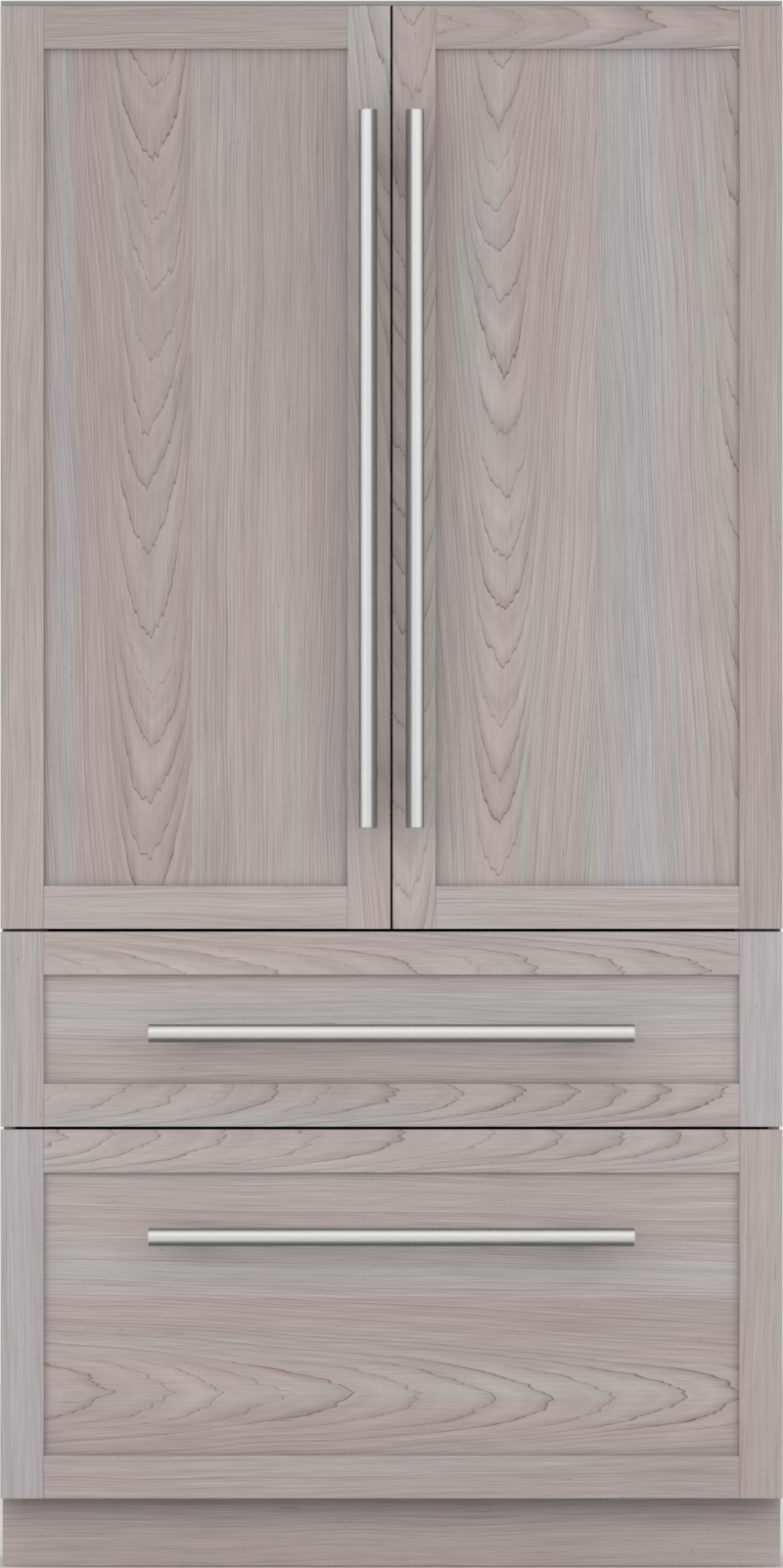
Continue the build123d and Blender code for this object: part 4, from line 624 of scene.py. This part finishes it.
# %% Paint and plastic
def moulded(name, colour, shade, rough, relief_mm, relief, mottle_mm=40.0, coat=0.0,
            transmission=0.0, ior=1.5):
    """A paint or plastic with a fine relief, and a faint slow change of tone."""
    material, tree, shader = bare_finish(name, 0.0, ior)
    where = add(tree, "ShaderNodeTexCoord", {}, {}).outputs["Object"]
    mottle = add(tree, NOISE, {}, {"Vector": where, "Scale": 1000 / mottle_mm,
                                   "Detail": 3.0}).outputs["Fac"]
    fine = add(tree, NOISE, {}, {"Vector": where, "Scale": 1000 / relief_mm,
                                 "Detail": 2.0}).outputs["Fac"]
    tree.links.new(add(tree, MIX, {"data_type": "RGBA"}, {
        0: mottle, 6: linear(colour), 7: linear(shade)}).outputs[2], shader.inputs["Base Color"])
    tree.links.new(add(tree, RANGE, {}, {
        "Value": fine, "From Min": 0.3, "From Max": 0.7,
        "To Min": max(rough - 0.04, 0.0), "To Max": rough + 0.05}).outputs[0],
        shader.inputs["Roughness"])
    tree.links.new(add(tree, "ShaderNodeBump", {}, {
        "Strength": relief, "Distance": 0.0002, "Height": fine}).outputs[0],
        shader.inputs["Normal"])
    shader.inputs["Coat Weight"].default_value = coat
    shader.inputs["Transmission Weight"].default_value = transmission
    return material


# Powder-coated steel: dark grey, satin, with orange peel.
door_skin = moulded("powder_coated_steel", "#4B4D50", "#43454A", 0.42, 2.0, 0.25)
# Vacuum-formed high-impact styrene: white, glossy, slightly wavy.
liner_sheet = moulded("vacuum_formed_styrene", "#F0F1F0", "#E8EAE9", 0.22, 9.0, 0.10, coat=0.2)
# Epoxy-coated steel: white, semi-gloss.
epoxy_steel = moulded("epoxy_coated_steel", "#E9EAE9", "#E0E2E2", 0.32, 1.6, 0.20)
# Injection-moulded clear styrene: as clear as glass but softer at the edges.
clear_styrene = moulded("clear_moulded_styrene", "#FAFDFD", "#F4F9FA", 0.05, 30.0, 0.08,
                        transmission=0.92, ior=1.59)
# Translucent polypropylene: milky, so that what is inside only shows as a shadow.
milky_bin = moulded("milky_polypropylene", "#EEF1F2", "#E4E9EB", 0.34, 1.2, 0.25,
                    transmission=0.25, ior=1.49)
# Extruded soft vinyl seal: matt grey, with a dusty bloom.
seal_vinyl = moulded("soft_vinyl_seal", "#77787A", "#6C6D70", 0.58, 0.8, 0.35)
# Tempered float glass: green from the iron in it, and very flat.
float_glass = moulded("tempered_float_glass", "#F0F8F5", "#EBF5F1", 0.02, 200.0, 0.02,
                      transmission=0.96, ior=1.52)
# Spark-grained plastics: dark grey flap, black fan and trim, nylon wheels.
flap_plastic = moulded("grained_grey_plastic", "#505256", "#494B4F", 0.50, 0.7, 0.45)
black_plastic = moulded("grained_black_plastic", "#202123", "#191A1C", 0.46, 0.8, 0.40)
wheel_nylon = moulded("turned_nylon", "#3C3D3F", "#343537", 0.40, 1.0, 0.25)
# Stove enamel on the drawn compressor shell: black and glossy, with orange peel.
stove_enamel = moulded("black_stove_enamel", "#121314", "#0C0D0E", 0.22, 2.5, 0.30, coat=0.4)
print("moulded and painted finishes made")

# %% [markdown]
# Poured polyurethane foam fills the walls. It is hidden once the steel is on, but it is
# a real piece, so it gets its look: cream, matt, and made of cells under 1 mm, which
# are drawn 2 mm wide so that they show.

# %% Foam with its cells
cells_per_metre = 500.0
foam, tree, shader = bare_finish("poured_urethane_foam", 0.0)
where = add(tree, "ShaderNodeTexCoord", {}, {}).outputs["Object"]
cells = add(tree, "ShaderNodeTexVoronoi", {}, {"Vector": where, "Scale": cells_per_metre})
cells = cells.outputs["Distance"]
tree.links.new(add(tree, MIX, {"data_type": "RGBA"}, {
    0: cells, 6: linear("#E8DCAF"), 7: linear("#D3C48F")}).outputs[2], shader.inputs["Base Color"])
tree.links.new(add(tree, "ShaderNodeBump", {}, {
    "Strength": 0.5, "Distance": 0.0005, "Height": cells}).outputs[0], shader.inputs["Normal"])
shader.inputs["Roughness"].default_value = 0.9
print("foam cells are drawn", 1000 / cells_per_metre, "mm wide")

# %% [markdown]
# ## Dressing the CAD pieces
#
# The imported record names a material slot for every piece of the CAD model, and a table
# turns each slot into a finish. A few pieces need a choice of their own. The ground
# lines follow the tube: up on the doors' bars, and from side to side on the drawers'.
# The front frame and the hinge brackets are dark as painted shade, which stands in for
# the shade that makes the gaps between the fronts look black. Clear shelves and bins cast
# no shadow, since daylight would go through them.

# %% A finish for every carried-over piece
finish_of = {
    "satin_stainless": bar_upright, "frame_stainless": brushed_sheet, "door_skin": door_skin,
    "galvanised_sheet": galvanised, "zinc_steel": zinc_plated, "white_liner": liner_sheet,
    "white_coated_steel": epoxy_steel, "clear_styrene": clear_styrene,
    "freezer_bin_plastic": milky_bin, "seal_rubber": seal_vinyl, "tempered_glass": float_glass,
    "urethane_foam": foam, "flap_plastic": flap_plastic, "black_plastic": black_plastic,
    "wheel_plastic": wheel_nylon, "black_enamel": stove_enamel, "fin_aluminium": fin_stock,
    "stained_maple": maple,
}
# The hinge brackets' dark grey and the front frame's black are painted shade for the gaps.
own_finish = {"upper_drawer_handle": bar_level, "lower_drawer_handle": bar_level,
              "front_frame": gap_shade_frame_sheet, "hinge_brackets": door_skin}
clear_pieces = ("shelf_glass", "left_crisper", "right_crisper", "left_door_bins", "right_door_bins")
for part in frame["record"]["subparts"]:
    node = part["node"]
    for slot in frame["nodes"][node].material_slots:
        slot.material = own_finish.get(node, finish_of[part["material_slot"]])
for node in clear_pieces:
    frame["nodes"][node].visible_shadow = False
    frame["nodes"][node].visible_diffuse = False

# %% [markdown]
# ## Light
#
# The fronts are lit as if by an overcast sky: no hard shadow anywhere, only a soft
# darkening in the corners of the panels and behind the bars. An even, bright world does
# that, with a very wide sun and with a softbox in front, which favours the middle. Three
# glows, to the sides and above, give the steel bars their highlights.

# %% World, sun, softbox and glows
world = bpy.data.worlds.new("overcast")
world.use_nodes = True
sky = world.node_tree.nodes["Background"]
sky.inputs["Color"].default_value = linear("#FFFFFF")
sky.inputs["Strength"].default_value = 0.835
bpy.context.scene.world = world
bpy.context.scene.view_settings.view_transform = "Standard"

open_sky = bpy.data.objects.new("open_sky", bpy.data.lights.new("open_sky", "SUN"))
open_sky.data.energy = 0.40
open_sky.data.angle = math.radians(85)
open_sky.rotation_euler = (math.radians(86), 0.0, 0.0)
open_sky.visible_glossy = False
bpy.context.scene.collection.objects.link(open_sky)


def softbox(name, place, aim, width, height, power, in_reflections=True):
    """A large soft lamp that looks from its place at a point."""
    lamp = bpy.data.lights.new(name, "AREA")
    lamp.shape = "RECTANGLE"
    lamp.size = width
    lamp.size_y = height
    lamp.energy = power
    held = bpy.data.objects.new(name, lamp)
    held.location = place
    held.rotation_euler = (Vector(aim) - Vector(place)).to_track_quat("-Z", "Y").to_euler()
    held.visible_camera = False
    held.visible_glossy = in_reflections
    bpy.context.scene.collection.objects.link(held)


softbox("front_softbox", place=(0.0, -1.8, 0.88), aim=(0.0, 0.0, 0.85), width=4.2, height=1.1,
        power=7.4, in_reflections=False)
for name, x in (("left_glow", -2.5), ("right_glow", 2.5)):
    softbox(name, place=(x, -3.2, 1.5), aim=(0.0, 0.0, 1.2), width=1.6, height=2.0, power=3.4)
softbox("top_glow", place=(0.0, -3.2, 2.6), aim=(0.0, 0.0, 0.7), width=3.4, height=1.6, power=4.6)
print("lights:", len(bpy.data.lights))

# %% [markdown]
# ## Floor and flags
#
# The floor is plain and pale. The steel bars are half dark in the picture, on the sides
# that face each other and underneath, which a product photographer gets from grey flags
# held close by. The flags here are seen by reflections alone. Those under the drawers'
# bars are the darkest.

# %% A floor, and flags beside the bars
def staged(name, build, material):
    """A piece of the studio from one bmesh operator."""
    bm = bmesh.new()
    build(bm)
    mesh = bpy.data.meshes.new(name)
    bm.to_mesh(mesh)
    bm.free()
    mesh.materials.append(material)
    piece = bpy.data.objects.new(name, mesh)
    bpy.context.scene.collection.objects.link(piece)
    return piece


def flag(name, low, high, felt):
    """A thin card that only reflections see."""
    card = staged(name, lambda bm: bmesh.ops.create_cube(bm, size=1.0, matrix=Matrix.LocRotScale(
        (Vector(low) + Vector(high)) / 2, None, Vector(high) - Vector(low))), felt)
    card.visible_camera = card.visible_diffuse = card.visible_shadow = False
    card.visible_transmission = False


floor_paint = moulded("matt_floor_paint", "#E4E3E0", "#DCDBD8", 0.62, 4.0, 0.15, mottle_mm=900.0)
staged("studio_floor", lambda bm: bmesh.ops.create_grid(
    bm, x_segments=1, y_segments=1, size=12.0), floor_paint)

grey_felt = moulded("grey_felt", "#969594", "#908F8E", 0.95, 2.0, 0.3)
dark_felt = moulded("dark_grey_felt", "#7A7978", "#747372", 0.95, 2.0, 0.3)
half_card = 0.0005
past_ends = 0.05
near_wood = front_y - 0.002
bar_low, bar_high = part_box("left_door_handle")
for name, x, y in (("between", 0.0, -0.379), ("left", -0.078, -0.342), ("right", 0.078, -0.342)):
    flag(f"flag_{name}", (x - half_card, y, bar_low.z - past_ends),
         (x + half_card, near_wood, bar_high.z + past_ends), grey_felt)
for drawer in ("upper_drawer", "lower_drawer"):
    bar_low, bar_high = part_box(f"{drawer}_handle")
    for name, z, y, felt in (("under", bar_low.z - 0.040, -0.376, dark_felt),
                             ("over", bar_high.z + 0.036, -0.344, grey_felt)):
        flag(f"flag_{name}_{drawer}", (bar_low.x - past_ends, y, z - half_card),
             (bar_high.x + past_ends, near_wood, z + half_card), felt)
